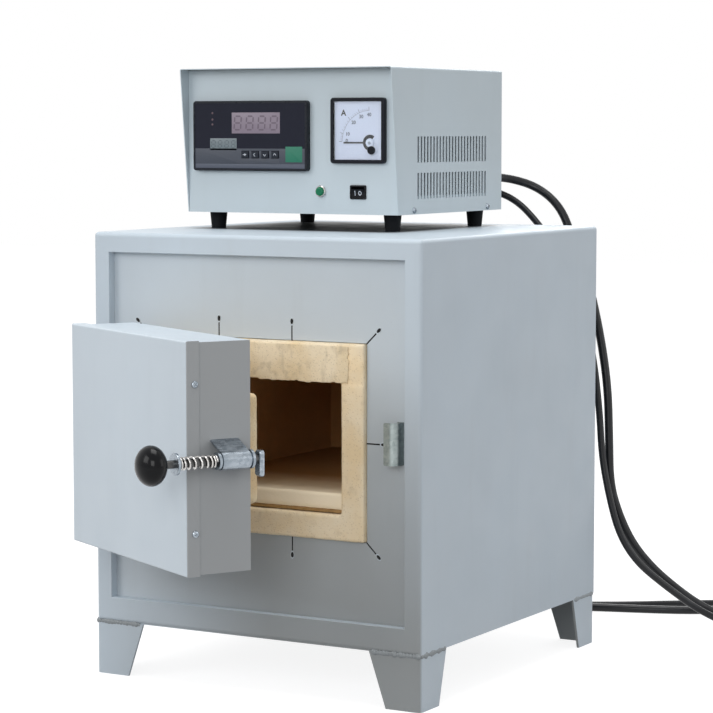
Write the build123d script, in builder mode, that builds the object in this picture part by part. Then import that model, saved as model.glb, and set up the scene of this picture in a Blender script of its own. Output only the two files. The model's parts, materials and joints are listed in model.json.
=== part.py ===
from build123d import *
import math
import os

os.makedirs("parts", exist_ok=True)

# Box-type muffle furnace with its temperature controller standing on top.
# Millimetres. +X is to the operator's right, +Y to the back, +Z up.
# The origin is on the bench, under the middle of the furnace body.

# ---------------------------------------------------------------- clearances
SHEET_GAP = 0.3          # between loose sheet parts
SEAT_GAP = 0.3           # between pieces of different bodies
PIN_FIT = 0.05           # radial running fit of pins and rods
SLIDE_FIT = 0.08         # radial running fit of the latch rod in its tube
BOARD_GAP = 0.3          # round ceramic pieces

# ------------------------------------------------------------- furnace body
body_width = 450.0
body_depth = 470.0
body_height = 474.0
leg_height = 65.0
body_sheet = 1.5
body_edge_radius = 5.0
frame_side = 22.0
frame_top = 24.0
frame_bottom = 30.0
panel_recess = 12.0

leg_sheet = 3.0
leg_front_top = 68.0
leg_front_foot = 46.0
leg_side_top = 62.0
leg_side_foot = 44.0
leg_bend_radius = 5.0

# ----------------------------------------------------------- ceramic insides
mouth_overlap = 1.5
mouth_height = 230.0
mouth_bottom = 123.0
mouth_proud = 8.0
mouth_depth = 46.0
mouth_lip_radius = 3.0

mouth_border = 31.0
chamber_height = 129.0
chamber_floor = 178.0
chamber_depth = 340.0
muffle_wall = 26.0
hearth_thickness = 24.0
hearth_set_back = 8.0
hearth_chamfer = 6.0

jacket_side_gap = 30.0
jacket_top_gap = 14.0
jacket_back_gap = 20.0

slot_length = 23.0
slot_width = 1.8
slot_eye_radius = 2.0

heater_coil_radius = 4.5
heater_run_pitch = 27.0
heater_run_count = 4
heater_run_inset = 30.0
heater_bend_radius = 5.3

sheath_radius = 4.0
sheath_reach = 45.0
sheath_seat = 6.0
sensor_drop = 34.0
lead_radius = 3.0
bush_radius = 7.0
bush_proud = 10.0
clamp_size = 14.0
clamp_screw_radius = 3.5
clamp_screw_proud = 4.0
lead_stub = 8.0
sensor_head_radius = 17.0
sensor_head_depth = 24.0

# ---------------------------------------------------------- back of the body
terminal_side_gap = 24.0
terminal_height = 150.0
terminal_depth = 52.0
terminal_bottom = 150.0
terminal_sheet = 1.2
terminal_flange = 12.0
back_vent_pitch = 12.0
back_vent_length = 60.0
back_vent_width = 5.0
back_vent_drop = 55.0
back_vent_gap = 20.0
air_slot_length = 70.0
air_slot_width = 6.0
air_slot_pitch = 90.0
air_slot_row_pitch = 24.0
panel_screw_radius = 4.0
panel_screw_head = 2.4
panel_screw_shank = 2.0
panel_screw_inset = 10.0

terminal_gland_x = (37.0, -33.0)

# --------------------------------------------------------------------- door
door_height = 257.0
door_thickness = 79.0
door_bottom = 113.0
door_gap = 4.0
door_ajar = 29.7
door_sheet = 1.5
door_edge_radius = 2.0
pan_depth = 16.0
pan_overlap = 1.6
plug_hinge_gap = 8.5
plug_free_gap = 10.5
plug_height = 125.0
plug_depth = 32.0
plug_radius = 9.0
door_board_depth = 24.0
door_rim = 8.0
plug_lift = 2.0

hinge_edge_gap = 12.0
hinge_reach = 39.0
hinge_stand_off = 16.0
hinge_pin_radius = 4.0
hinge_barrel_radius = 8.0
hinge_barrel_height = 30.0
hinge_spread = 130.0
hinge_ear = 8.0
hinge_strap = 6.0
hinge_plate = 42.0
hinge_plate_sheet = 3.0
hinge_plate_corner = 6.0
door_screw_inset = 10.5
door_screw_spread = 163.0

# -------------------------------------------------------------------- latch
latch_reach = 20.0
latch_height = 241.0
rod_radius = 4.5
knob_diameter = 44.0
knob_length = 33.0
knob_reach = 52.0
front_washer_at = 25.0
washer_thickness = 3.0
front_washer_radius = 12.0
rear_washer_radius = 9.5
spring_length = 48.0
spring_turns = 9
spring_wire_radius = 1.1
spring_radius = 6.4
tube_length = 37.0
tube_radius = 8.0
tube_collar_radius = 10.5
tube_collar = 3.0
saddle_length = 34.0
saddle_start = 1.0
saddle_sheet = 2.0
saddle_top = 21.0
hook_gap = 7.0
hook_thickness = 5.0
hook_width = 14.0
hook_arm = 20.0
hook_heel = 9.0

keeper_height = 49.0
keeper_edge_gap = 7.0
keeper_width = 17.0
keeper_reach = 13.0
keeper_stand_off = 17.5
keeper_sheet = 1.5
keeper_foot = 8.0
keeper_bend = 8.0
rivet_radius = 2.6
rivet_head_height = 1.2
rivet_spread = 21.0
keeper_corner = 2.0

# --------------------------------------------------------------- controller
cabinet_width = 300.0
cabinet_depth = 274.0
cabinet_height = 177.0
cabinet_centre = -42.0
cabinet_set_back = 157.5
cabinet_sheet = 1.2
face_sheet = 1.5
tray_lip = 22.0
cabinet_screw_front = 39.5
cabinet_screw_rise = 5.0
cabinet_edge_radius = 2.5
visor_reach = 18.0
foot_height = 20.5
foot_top_radius = 11.0
foot_bottom_radius = 9.0
foot_side_inset = 25.0
foot_front_inset = 31.0
foot_back_inset = 26.0

vent_count = 23
vent_pitch = 8.1
vent_width = 4.2
vent_height = 31.5
vent_row_pitch = 44.0
vent_start = 50.0
vent_bottom = 18.5
vent_rows = 2

instrument_width = 165.0
instrument_height = 86.0
instrument_left = 12.5
instrument_bottom = 51.5
instrument_bezel = 8.0
instrument_body_depth = 90.0
instrument_rim = 3.0
instrument_flange = 5.0
instrument_corner = 4.0
instrument_well = 1.6
window_sunk = 0.4
key_count = 4
key_width = 10.0
key_height = 8.0
key_pitch = 14.4
key_left = 71.5
key_bottom = 16.0
key_travel = 0.8
key_proud = 1.0
key_depth = 4.0

meter_width = 75.0
meter_height = 79.0
meter_right_inset = 16.0
meter_bottom = 61.5
meter_depth = 6.0
meter_rim = 4.5
meter_well = 4.5
meter_corner = 4.0
meter_cover_sheet = 1.6
dial_sheet = 0.8
meter_body_radius = 30.0
meter_body_depth = 42.0
pivot_inset = 21.5
pivot_rise = 25.0
needle_length = 36.0
needle_hub_radius = 3.0
needle_sheet = 0.6
needle_width = 2.0
zero_screw_radius = 5.0
zero_screw_drop = 9.0
zero_screw_shift = 3.5
zero_screw_proud = 1.2

lamp_left = 192.8
lamp_rise = 27.5
lamp_radius = 5.7
lamp_bezel_radius = 7.0
lamp_bezel_depth = 3.0
lamp_lens_proud = 2.4
lamp_body_radius = 5.5
lamp_body_depth = 26.0
switch_right_inset = 44.0
switch_bottom = 18.5
switch_width = 22.0
switch_height = 17.0
switch_proud = 2.0
switch_flange = 1.0
switch_wall = 1.0
switch_body_depth = 18.0
rocker_tilt = 12.0
rocker_set_back = 3.0
rocker_end_reach = 5.6
rocker_mid_reach = 4.8
rocker_half_height = 5.2
rocker_tail = 3.0
rocker_tail_half = 3.0
rocker_pin_radius = 1.2
rocker_pin = 0.7

gland_radius = 9.0
gland_length = 18.0
gland_nut = 8.0
gland_dome_radius = 8.4
gland_thread = 8.0
gland_thread_radius = 6.5
cabinet_gland_rises = ((55.0, 40.5), (30.0, 25.5))   # x, and height over the cabinet's underside

# -------------------------------------------------------------------- cords
heater_cord_radius = 5.5
sensor_cord_radius = 4.5

# ------------------------------------------------------- derived placements
front_y = -body_depth / 2
back_y = body_depth / 2
body_bottom = leg_height
body_top = leg_height + body_height
half_width = body_width / 2
window_x = half_width - frame_side
hinge_x = hinge_edge_gap - window_x
keeper_right = window_x - keeper_edge_gap
keeper_left = keeper_right - keeper_width
rod_x = keeper_left - keeper_reach
door_left = hinge_x + hinge_reach
door_right = rod_x - latch_reach
mouth_offset = (door_left + door_right) / 2
mouth_width = door_right - door_left + 2 * mouth_overlap
chamber_width = mouth_width - 2 * mouth_border
panel_y = front_y + panel_recess
mouth_y = panel_y - mouth_proud
muffle_y = mouth_y + mouth_depth
chamber_left = mouth_offset - chamber_width / 2
chamber_right = mouth_offset + chamber_width / 2
chamber_low = body_bottom + chamber_floor
chamber_high = chamber_low + chamber_height
muffle_back = muffle_y + chamber_depth + muffle_wall
muffle_floor = chamber_low - hearth_thickness
mouth_low = body_bottom + mouth_bottom
mouth_mid = mouth_low + mouth_height / 2

sensor_z = chamber_high - sensor_drop
heater_low = (muffle_floor + chamber_high) / 2 - heater_run_pitch * (heater_run_count - 1) / 2
heater_high = heater_low + heater_run_pitch * (heater_run_count - 1)
heater_x = chamber_width / 2 + muffle_wall - heater_coil_radius
terminal_width = 2 * (heater_x + terminal_side_gap)
terminal_low = body_bottom + terminal_bottom
terminal_back = back_y + terminal_depth

door_low = body_bottom + door_bottom
door_high = door_low + door_height
door_back = mouth_y - door_gap
door_front = door_back - door_thickness
casing_x = (door_left + pan_overlap, door_right - pan_overlap)
casing_z = (door_low + pan_overlap, door_high - pan_overlap)
hinge_y = panel_y - hinge_stand_off

rod_z = body_bottom + latch_height

cabinet_left = cabinet_centre - cabinet_width / 2
cabinet_right = cabinet_centre + cabinet_width / 2
cabinet_front = front_y + cabinet_set_back
cabinet_back = cabinet_front + cabinet_depth
cabinet_low = body_top + foot_height
cabinet_high = cabinet_low + cabinet_height
cabinet_gland_places = [(x, cabinet_low + rise) for x, rise in cabinet_gland_rises]


# ------------------------------------------------------------------ helpers
def block(x_span, y_span, z_span, mode=Mode.ADD):
    """Add or cut a box between two limits along each axis."""
    spans = (x_span, y_span, z_span)
    with Locations(tuple((low + high) / 2 for low, high in spans)):
        Box(*(high - low for low, high in spans), mode=mode)


def rod(start, end, radius, mode=Mode.ADD):
    """Add or cut a round bar between two points."""
    axis = Vector(*end) - Vector(*start)
    with BuildSketch(Plane(origin=start, z_dir=axis)) as section:
        Circle(radius)
    extrude(section.sketch, amount=axis.length, mode=mode)


def write(part, name):
    """Label a finished piece and write it as a STEP file."""
    part.label = name
    export_step(part, "parts/" + name + ".step")


def swung(part):
    """A door piece, modelled shut, turned to where the open door stands."""
    return part.rotate(Axis((hinge_x, hinge_y, 0), (0, 0, 1)), -door_ajar)


screw_span_x = half_width - body_sheet - SHEET_GAP - panel_screw_inset
screw_span_z = (body_bottom + panel_screw_inset + body_sheet, body_top - panel_screw_inset - body_sheet)
back_screw_places = [(side * screw_span_x, back_y, z) for side in (-1, 1)
                     for z in (screw_span_z[0], sum(screw_span_z) / 2, screw_span_z[1])]
cover_screw_x = terminal_width / 2 + terminal_flange / 2
cover_screw_places = [(mouth_offset + side * cover_screw_x, back_y + terminal_sheet, terminal_low + rise)
                      for side in (-1, 1) for rise in (terminal_flange, terminal_height - terminal_flange)]
door_screw_z = [(door_low + door_high) / 2 + side * door_screw_spread / 2 for side in (-1, 1)]
door_screw_y = door_front + door_screw_inset
hinge_mid = (door_low + door_high) / 2
hinge_heights = [hinge_mid + side * hinge_spread / 2 for side in (-1, 1)]
strap_face = casing_x[0] - hinge_plate_sheet
strap_screw_places = [(strap_face, hinge_y - hinge_plate + step, z)
                      for z in hinge_heights for step in (8, hinge_plate - 14)]
cabinet_screw_places = {side: [(cabinet_centre + side * cabinet_width / 2, cabinet_front + y, cabinet_low + z)
                               for y, z in ((cabinet_screw_front, cabinet_screw_rise),
                                            (cabinet_depth - cabinet_screw_front, cabinet_screw_rise))]
                        for side in (-1, 1)}

heater_ends = [
    (mouth_offset + side * heater_x, back_y, z)
    for side in (-1, 1)
    for z in (heater_low, heater_high)
]


def make_screws(places, direction, shank_length):
    """Identical pan-head screws with their heads facing along one direction."""
    aim = Vector(*direction)
    with BuildPart() as screws:
        for place in places:
            seat = Vector(*place)
            rod(seat - aim * shank_length, seat, panel_screw_shank)
            with BuildSketch(Plane(origin=seat, z_dir=direction)) as head:
                Circle(panel_screw_radius)
            extrude(head.sketch, amount=panel_screw_head, taper=25)
    return screws.part


def make_gland(seat_point, direction):
    """A cable gland: thread through the sheet, hexagon body and domed nut."""
    aim = Vector(*direction)
    seat = Vector(*seat_point)
    with BuildPart() as gland:
        rod(seat - aim * gland_thread, seat, gland_thread_radius)
        with BuildSketch(Plane(origin=seat, z_dir=direction)) as nut:
            RegularPolygon(gland_radius, 6)
        extrude(nut.sketch, amount=gland_nut)
        with BuildSketch(Plane(origin=seat + aim * gland_nut, z_dir=direction)) as dome:
            Circle(gland_dome_radius)
        extrude(dome.sketch, amount=gland_length - gland_nut, taper=10)
    return gland.part


def screw_holes(places, direction, depth):
    """Drill the part being built for panel screws whose seats are given."""
    aim = Vector(*direction)
    for place in places:
        seat = Vector(*place)
        rod(seat - aim * (depth + 1), seat + aim, panel_screw_shank + PIN_FIT, Mode.SUBTRACT)


# ============================================================ FURNACE SHELL
with BuildPart() as shell_core:
    core_x = half_width - body_sheet
    block((-core_x, core_x), (front_y + body_sheet, back_y + 1), (body_bottom - 1, body_top - body_sheet))
    core_edges = shell_core.faces().sort_by(Axis.Y)[0].edges().sort_by(Axis.Z)[1:]
    core_edges += shell_core.faces().sort_by(Axis.Z)[-1].edges().filter_by(Axis.Y)
    fillet(core_edges, body_edge_radius - body_sheet)

with BuildPart() as outer_shell:
    block((-half_width, half_width), (front_y, back_y), (body_bottom, body_top))
    round_edges = outer_shell.faces().sort_by(Axis.Y)[0].edges()
    round_edges += outer_shell.faces().sort_by(Axis.Z)[-1].edges().filter_by(Axis.Y)
    fillet(round_edges, body_edge_radius)
    add(shell_core.part, mode=Mode.SUBTRACT)
    window_z = (body_bottom + frame_bottom, body_top - frame_top)
    block((-window_x - body_sheet, window_x + body_sheet), (front_y + body_edge_radius, panel_y - SHEET_GAP),
          (window_z[0] - body_sheet, window_z[1] + body_sheet))
    block((-window_x - body_sheet, window_x + body_sheet), (front_y, front_y + body_edge_radius),
          (window_z[0] - body_sheet, window_z[1] + body_sheet))
    block((-window_x, window_x), (front_y - 1, panel_y + 1), window_z, Mode.SUBTRACT)
    reveal_rim = outer_shell.faces().filter_by(Axis.Y).sort_by(Axis.Y)[0].inner_wires()[0].edges()
    fillet(reveal_rim, body_sheet * 0.6)
write(outer_shell.part, "outer_shell")

# The recessed steel panel. Thin saw cuts with a drilled eye at their end run
# out from the mouth, so that the hot panel can grow without buckling.
with BuildPart() as front_panel:
    inner_x = half_width - body_sheet - SHEET_GAP
    block((-inner_x, inner_x), (panel_y, panel_y + body_sheet),
          (body_bottom + body_sheet, body_top - body_sheet - SHEET_GAP))
    fillet(front_panel.edges().filter_by(Axis.Y).group_by(Axis.Z)[-1], body_edge_radius)
    cut_x = mouth_width / 2 + BOARD_GAP
    cut_z = mouth_height / 2 + BOARD_GAP
    block((mouth_offset - cut_x, mouth_offset + cut_x), (panel_y - 1, panel_y + body_sheet + 1),
          (mouth_mid - cut_z, mouth_mid + cut_z), Mode.SUBTRACT)
    relief_cuts = [(sx * cut_x, sz * cut_z, sx, sz) for sx in (-1, 1) for sz in (-1, 1)]
    relief_cuts += [(sx * cut_x, 0, sx, 0) for sx in (-1, 1)]
    relief_cuts += [(sx * cut_x / 3, sz * cut_z, 0, sz) for sx in (-1, 1) for sz in (-1, 1)]
    with BuildSketch(Plane.XZ.offset(-panel_y - body_sheet - 1)) as cuts:
        for x, z, dx, dz in relief_cuts:
            aim = math.degrees(math.atan2(dz, dx))
            reach = slot_length / 2
            step_x = math.cos(math.radians(aim))
            step_z = math.sin(math.radians(aim))
            with Locations(Location((mouth_offset + x + reach * step_x,
                                     mouth_mid + z + reach * step_z), aim)):
                Rectangle(slot_length + slot_width, slot_width)
            with Locations((mouth_offset + x + slot_length * step_x,
                            mouth_mid + z + slot_length * step_z)):
                Circle(slot_eye_radius)
    extrude(cuts.sketch, amount=body_sheet + 2, mode=Mode.SUBTRACT)
write(front_panel.part, "front_panel")

with BuildPart() as back_panel:
    panel_x = half_width - body_sheet - SHEET_GAP
    block((-panel_x, panel_x), (back_y - body_sheet, back_y),
          (body_bottom + body_sheet, body_top - body_sheet - SHEET_GAP))
    fillet(back_panel.edges().filter_by(Axis.Y).group_by(Axis.Z)[-1], body_edge_radius)
    with BuildSketch(Plane.XZ.offset(-back_y - 1)) as vents:
        with Locations((0, body_top - back_vent_drop)):
            with GridLocations(back_vent_length + back_vent_gap, back_vent_pitch, 3, 4):
                SlotOverall(back_vent_length, back_vent_width)
        with Locations((mouth_offset, sensor_z)):
            Circle(sheath_radius + PIN_FIT)
        with Locations(*((x, z) for x, y, z in heater_ends)):
            Circle(bush_radius + PIN_FIT)
    extrude(vents.sketch, amount=body_sheet + 2, mode=Mode.SUBTRACT)
    screw_holes(back_screw_places + cover_screw_places, (0, 1, 0), body_sheet + terminal_sheet)
write(back_panel.part, "back_panel")

with BuildPart() as bottom_panel:
    plate_x = half_width - body_sheet - SHEET_GAP
    block((-plate_x, plate_x), (front_y + body_sheet + SHEET_GAP, back_y),
          (body_bottom, body_bottom + body_sheet))
    fillet(bottom_panel.edges().filter_by(Axis.Z).group_by(Axis.Y)[0], body_edge_radius)
    with BuildSketch(Plane.XY.offset(body_bottom - 1)) as air_slots:
        with GridLocations(air_slot_pitch, air_slot_row_pitch, 3, 6):
            SlotOverall(air_slot_length, air_slot_width)
    extrude(air_slots.sketch, amount=body_sheet + 2, mode=Mode.SUBTRACT)
write(bottom_panel.part, "bottom_panel")


def make_leg(side_x, side_y):
    """A bent-up angle leg, its two webs tapering towards the bench."""
    corner_x = side_x * half_width
    corner_y = side_y * body_depth / 2
    with BuildPart() as leg:
        with BuildSketch(Plane.XZ.offset(-corner_y)) as front_web:
            with BuildLine():
                Polyline((corner_x, 0), (corner_x, leg_height),
                         (corner_x - side_x * leg_front_top, leg_height),
                         (corner_x - side_x * leg_front_foot, 0), close=True)
            make_face()
        extrude(front_web.sketch, amount=side_y * leg_sheet)
        with BuildSketch(Plane.YZ.offset(corner_x)) as side_web:
            with BuildLine():
                Polyline((corner_y, 0), (corner_y, leg_height),
                         (corner_y - side_y * leg_side_top, leg_height),
                         (corner_y - side_y * leg_side_foot, 0), close=True)
            make_face()
        extrude(side_web.sketch, amount=-side_x * leg_sheet)
        outer_edge = leg.edges().filter_by(Axis.Z).sort_by(
            lambda edge: side_x * edge.center().X + side_y * edge.center().Y)[-1]
        fillet(outer_edge, leg_bend_radius)
    return leg.part


write(make_leg(-1, -1), "leg_front_left")
write(make_leg(1, -1), "leg_front_right")
write(make_leg(-1, 1), "leg_rear_left")
write(make_leg(1, 1), "leg_rear_right")


# ========================================================= CERAMIC INSIDES
with BuildPart() as mouth_plate:
    block((mouth_offset - mouth_width / 2, mouth_offset + mouth_width / 2), (mouth_y, muffle_y),
          (mouth_low, mouth_low + mouth_height))
    block((chamber_left, chamber_right), (mouth_y - 1, muffle_y + 1), (muffle_floor, chamber_high),
          Mode.SUBTRACT)
    front_face = mouth_plate.faces().filter_by(Axis.Y).sort_by(Axis.Y)[0]
    fillet(front_face.edges() + front_face.inner_wires()[0].edges(), mouth_lip_radius)
write(mouth_plate.part, "mouth_plate")

with BuildPart() as hearth_slab:
    block((chamber_left + BOARD_GAP, chamber_right - BOARD_GAP),
          (mouth_y + hearth_set_back, muffle_y + chamber_depth - BOARD_GAP), (muffle_floor, chamber_low))
    under_edge = hearth_slab.faces().sort_by(Axis.Y)[0].edges().sort_by(Axis.Z)[0]
    chamfer(under_edge, hearth_chamfer)
    top_edge = hearth_slab.faces().sort_by(Axis.Z)[-1].edges().sort_by(Axis.Y)[0]
    fillet(top_edge, 2)
write(hearth_slab.part, "hearth_slab")

# The muffle is open to the mouth; its flanks carry grooves for the elements.
with BuildPart() as muffle:
    block((chamber_left - muffle_wall, chamber_right + muffle_wall), (muffle_y, muffle_back),
          (muffle_floor - muffle_wall, chamber_high + muffle_wall))
    block((chamber_left, chamber_right), (muffle_y - 1, muffle_y + chamber_depth),
          (muffle_floor, chamber_high), Mode.SUBTRACT)
    rod((mouth_offset, muffle_back - muffle_wall - 1, sensor_z), (mouth_offset, muffle_back + 1, sensor_z),
        sheath_radius + PIN_FIT, Mode.SUBTRACT)
    groove_x = chamber_width / 2 + muffle_wall - 2 * heater_coil_radius - BOARD_GAP
    groove_z = heater_coil_radius + BOARD_GAP
    for side in (-1, 1):
        groove_span = sorted((mouth_offset + side * groove_x, mouth_offset + side * (groove_x + 30)))
        for run in range(heater_run_count):
            run_z = heater_low + run * heater_run_pitch
            block(groove_span, (muffle_y + heater_run_inset - groove_z, muffle_back + 1),
                  (run_z - groove_z, run_z + groove_z), Mode.SUBTRACT)
        for turn in range(heater_run_count - 1):
            turn_z = heater_low + turn * heater_run_pitch
            turn_y = muffle_y + heater_run_inset
            block(groove_span, (turn_y - groove_z, turn_y + groove_z),
                  (turn_z - groove_z, turn_z + heater_run_pitch + groove_z), Mode.SUBTRACT)
            turn_y = muffle_back - heater_run_inset
            block(groove_span, (turn_y - groove_z, turn_y + groove_z),
                  (turn_z - groove_z, turn_z + heater_run_pitch + groove_z), Mode.SUBTRACT)
write(muffle.part, "muffle")

# Each element is one spiral wire laid to and fro; its envelope is a round bar.
with BuildPart() as heating_elements:
    for side in (-1, 1):
        bar_x = mouth_offset + side * heater_x
        near = muffle_y + heater_run_inset
        far = muffle_back - heater_run_inset
        corners = [(bar_x, muffle_back, heater_low)]
        for run in range(heater_run_count):
            run_z = heater_low + run * heater_run_pitch
            ends = (far, near) if run % 2 == 0 else (near, far)
            corners += [(bar_x, ends[0], run_z), (bar_x, ends[1], run_z)]
        corners = [corners[0]] + corners[2:-1] + [(bar_x, muffle_back, heater_high)]
        with BuildLine() as to_and_fro:
            FilletPolyline(*corners, radius=heater_bend_radius)
        with BuildSketch(Plane(origin=corners[0], z_dir=(0, -1, 0))) as element_section:
            Circle(heater_coil_radius)
        sweep(element_section.sketch, path=to_and_fro.line)
write(heating_elements.part, "heating_elements")

jacket_back = back_y - jacket_back_gap
jacket_side = half_width - jacket_side_gap
jacket_top = body_top - jacket_top_gap
with BuildPart() as insulation_jacket:
    block((-jacket_side, jacket_side), (panel_y + body_sheet, jacket_back),
          (body_bottom + body_sheet, jacket_top))
    block((chamber_left - muffle_wall, chamber_right + muffle_wall), (panel_y, muffle_back),
          (muffle_floor - muffle_wall, chamber_high + muffle_wall), Mode.SUBTRACT)
    block((mouth_offset - mouth_width / 2, mouth_offset + mouth_width / 2), (panel_y, muffle_y),
          (mouth_low, mouth_low + mouth_height), Mode.SUBTRACT)
    rod((mouth_offset, muffle_back - 1, sensor_z), (mouth_offset, jacket_back + 1, sensor_z),
        sheath_radius + PIN_FIT, Mode.SUBTRACT)
    for x, y, z in heater_ends:
        rod((x, muffle_back - 1, z), (x, jacket_back + 1, z), bush_radius + PIN_FIT, Mode.SUBTRACT)
write(insulation_jacket.part, "insulation_jacket")

# --------------------------------------------- leads, sensor and rear cover
with BuildPart() as lead_bushes:
    for x, y, z in heater_ends:
        rod((x, muffle_back, z), (x, back_y + bush_proud, z), bush_radius)
        rod((x, muffle_back - 1, z), (x, back_y + bush_proud + 1, z), lead_radius + PIN_FIT, Mode.SUBTRACT)
write(lead_bushes.part, "lead_bushes")

# Each lead ends in a clamp block whose screw stands on top.
with BuildPart() as lead_terminals:
    for x, y, z in heater_ends:
        clamp_span = (back_y + bush_proud, back_y + bush_proud + clamp_size)
        block((x - clamp_size / 2, x + clamp_size / 2), clamp_span, (z - clamp_size / 2, z + clamp_size / 2))
        rod((x, muffle_back, z), (x, clamp_span[1] + lead_stub, z), lead_radius)
        rod((x, sum(clamp_span) / 2, z), (x, sum(clamp_span) / 2, z + clamp_size / 2 + clamp_screw_proud),
            clamp_screw_radius)
write(lead_terminals.part, "lead_terminals")

with BuildPart() as thermocouple:
    rod((mouth_offset, muffle_back - muffle_wall - sheath_reach, sensor_z),
        (mouth_offset, back_y + sheath_seat, sensor_z), sheath_radius)
    fillet(thermocouple.faces().sort_by(Axis.Y)[0].edges(), sheath_radius * 0.8)
write(thermocouple.part, "thermocouple")

with BuildPart() as sensor_head:
    head_back = back_y + sensor_head_depth
    rod((mouth_offset, back_y, sensor_z), (mouth_offset, head_back, sensor_z), sensor_head_radius)
    rod((mouth_offset, back_y - 1, sensor_z), (mouth_offset, back_y + sheath_seat, sensor_z),
        sheath_radius + PIN_FIT, Mode.SUBTRACT)
    fillet(sensor_head.faces().sort_by(Axis.Y)[-1].edges(), 3)
    for shift in (-clamp_screw_radius * 2, clamp_screw_radius * 2):
        rod((mouth_offset + shift, head_back - 1, sensor_z),
            (mouth_offset + shift, head_back + clamp_screw_proud, sensor_z), clamp_screw_radius)
write(sensor_head.part, "sensor_head")

gland_places = [(x, back_y + terminal_depth / 2) for x in terminal_gland_x]
with BuildPart() as terminal_cover:
    cover_x = (mouth_offset - terminal_width / 2, mouth_offset + terminal_width / 2)
    cover_z = (terminal_low, terminal_low + terminal_height)
    block(cover_x, (back_y, terminal_back), cover_z)
    fillet(terminal_cover.faces().sort_by(Axis.Y)[-1].edges(), 3)
    inner_sheet = terminal_sheet
    block((cover_x[0] + inner_sheet, cover_x[1] - inner_sheet), (back_y - 1, terminal_back - inner_sheet),
          (cover_z[0] + inner_sheet, cover_z[1] - inner_sheet), Mode.SUBTRACT)
    block((cover_x[0] - terminal_flange, cover_x[1] + terminal_flange), (back_y, back_y + terminal_sheet),
          (cover_z[0], cover_z[1]))
    block((cover_x[0] + inner_sheet, cover_x[1] - inner_sheet), (back_y - 1, back_y + 3),
          (cover_z[0] + inner_sheet, cover_z[1] - inner_sheet), Mode.SUBTRACT)
    with BuildSketch(Plane.XZ.offset(-terminal_back - 1)) as cover_vents:
        with Locations((mouth_offset, terminal_low + terminal_height / 2)):
            with GridLocations(14, terminal_height / 2, 18, 2):
                SlotOverall(terminal_height / 3, 5, rotation=90)
    extrude(cover_vents.sketch, amount=terminal_sheet + 2, mode=Mode.SUBTRACT)
    screw_holes(cover_screw_places, (0, 1, 0), terminal_sheet)
    for x, y in gland_places:
        rod((x, y, terminal_low - 1), (x, y, terminal_low + 3), gland_thread_radius + PIN_FIT, Mode.SUBTRACT)
write(terminal_cover.part, "terminal_cover")


# ==================================================================== DOOR
# Every door piece is modelled shut and then swung to where the open door is.
with BuildPart() as door_pan:
    block((door_left, door_right), (door_front, door_front + pan_depth), (door_low, door_high))
    fillet(door_pan.faces().sort_by(Axis.Y)[0].edges(), door_edge_radius)
    block((door_left + door_sheet, door_right - door_sheet),
          (door_front + door_sheet, door_front + pan_depth + 1),
          (door_low + door_sheet, door_high - door_sheet), Mode.SUBTRACT)
    for side, edge_x in ((-1, door_left), (1, door_right)):
        screw_holes([(edge_x, door_screw_y, z) for z in door_screw_z], (side, 0, 0), door_sheet)
write(swung(door_pan.part), "door_pan")

with BuildPart() as door_casing:
    block(casing_x, (door_front + door_sheet, door_back), casing_z)
    block((casing_x[0] + door_sheet, casing_x[1] - door_sheet), (door_front, door_back - door_sheet),
          (casing_z[0] + door_sheet, casing_z[1] - door_sheet), Mode.SUBTRACT)
    block((casing_x[0] + door_rim, casing_x[1] - door_rim), (door_front, door_back + 1),
          (casing_z[0] + door_rim, casing_z[1] - door_rim), Mode.SUBTRACT)
write(swung(door_casing.part), "door_casing")

lining_x = (casing_x[0] + door_sheet, casing_x[1] - door_sheet)
lining_z = (casing_z[0] + door_sheet, casing_z[1] - door_sheet)
board_y = door_back - door_sheet - door_board_depth
with BuildPart() as door_insulation:
    block(lining_x, (door_front + door_sheet, board_y), lining_z)
write(swung(door_insulation.part), "door_insulation")

plug_left = chamber_left + plug_hinge_gap
plug_right = chamber_right - plug_free_gap
plug_low = chamber_low + plug_lift
with BuildPart() as door_plug:
    block(lining_x, (board_y, door_back - door_sheet), lining_z)
    block((plug_left, plug_right), (door_back - door_sheet, door_back + plug_depth),
          (plug_low, plug_low + plug_height))
    plug_rim = door_plug.faces().sort_by(Axis.Y)[-1].edges()
    plug_corners = door_plug.edges().filter_by(Axis.Y).filter_by(
        lambda e: e.center().Y > door_back)
    fillet(plug_corners + plug_rim, plug_radius * 0.7)
write(swung(door_plug.part), "door_plug")

with BuildPart() as door_screws:
    for side, edge_x in ((-1, door_left), (1, door_right)):
        add(make_screws([(edge_x, door_screw_y, z) for z in door_screw_z], (side, 0, 0), door_sheet))
    add(make_screws(strap_screw_places, (-1, 0, 0), hinge_plate_sheet))
write(swung(door_screws.part), "door_screws")

# -------------------------------------------------------------------- hinges
with BuildPart() as hinge_straps:
    for z in hinge_heights:
        span = (z - hinge_barrel_height / 2, z + hinge_barrel_height / 2)
        rod((hinge_x, hinge_y, span[0]), (hinge_x, hinge_y, span[1]), hinge_barrel_radius)
        block((hinge_x, casing_x[0]), (hinge_y - hinge_strap / 2, hinge_y + hinge_strap / 2), span)
        block((strap_face, casing_x[0]), (hinge_y - hinge_plate, hinge_y + hinge_strap / 2), span)
        rod((hinge_x, hinge_y, span[0] - 1), (hinge_x, hinge_y, span[1] + 1),
            hinge_pin_radius + PIN_FIT, Mode.SUBTRACT)
    plate_corners = hinge_straps.edges().filter_by(Axis.X).group_by(Axis.Y)[0]
    fillet(plate_corners, hinge_plate_corner)
    screw_holes(strap_screw_places, (-1, 0, 0), hinge_plate_sheet)
write(swung(hinge_straps.part), "hinge_straps")

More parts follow.
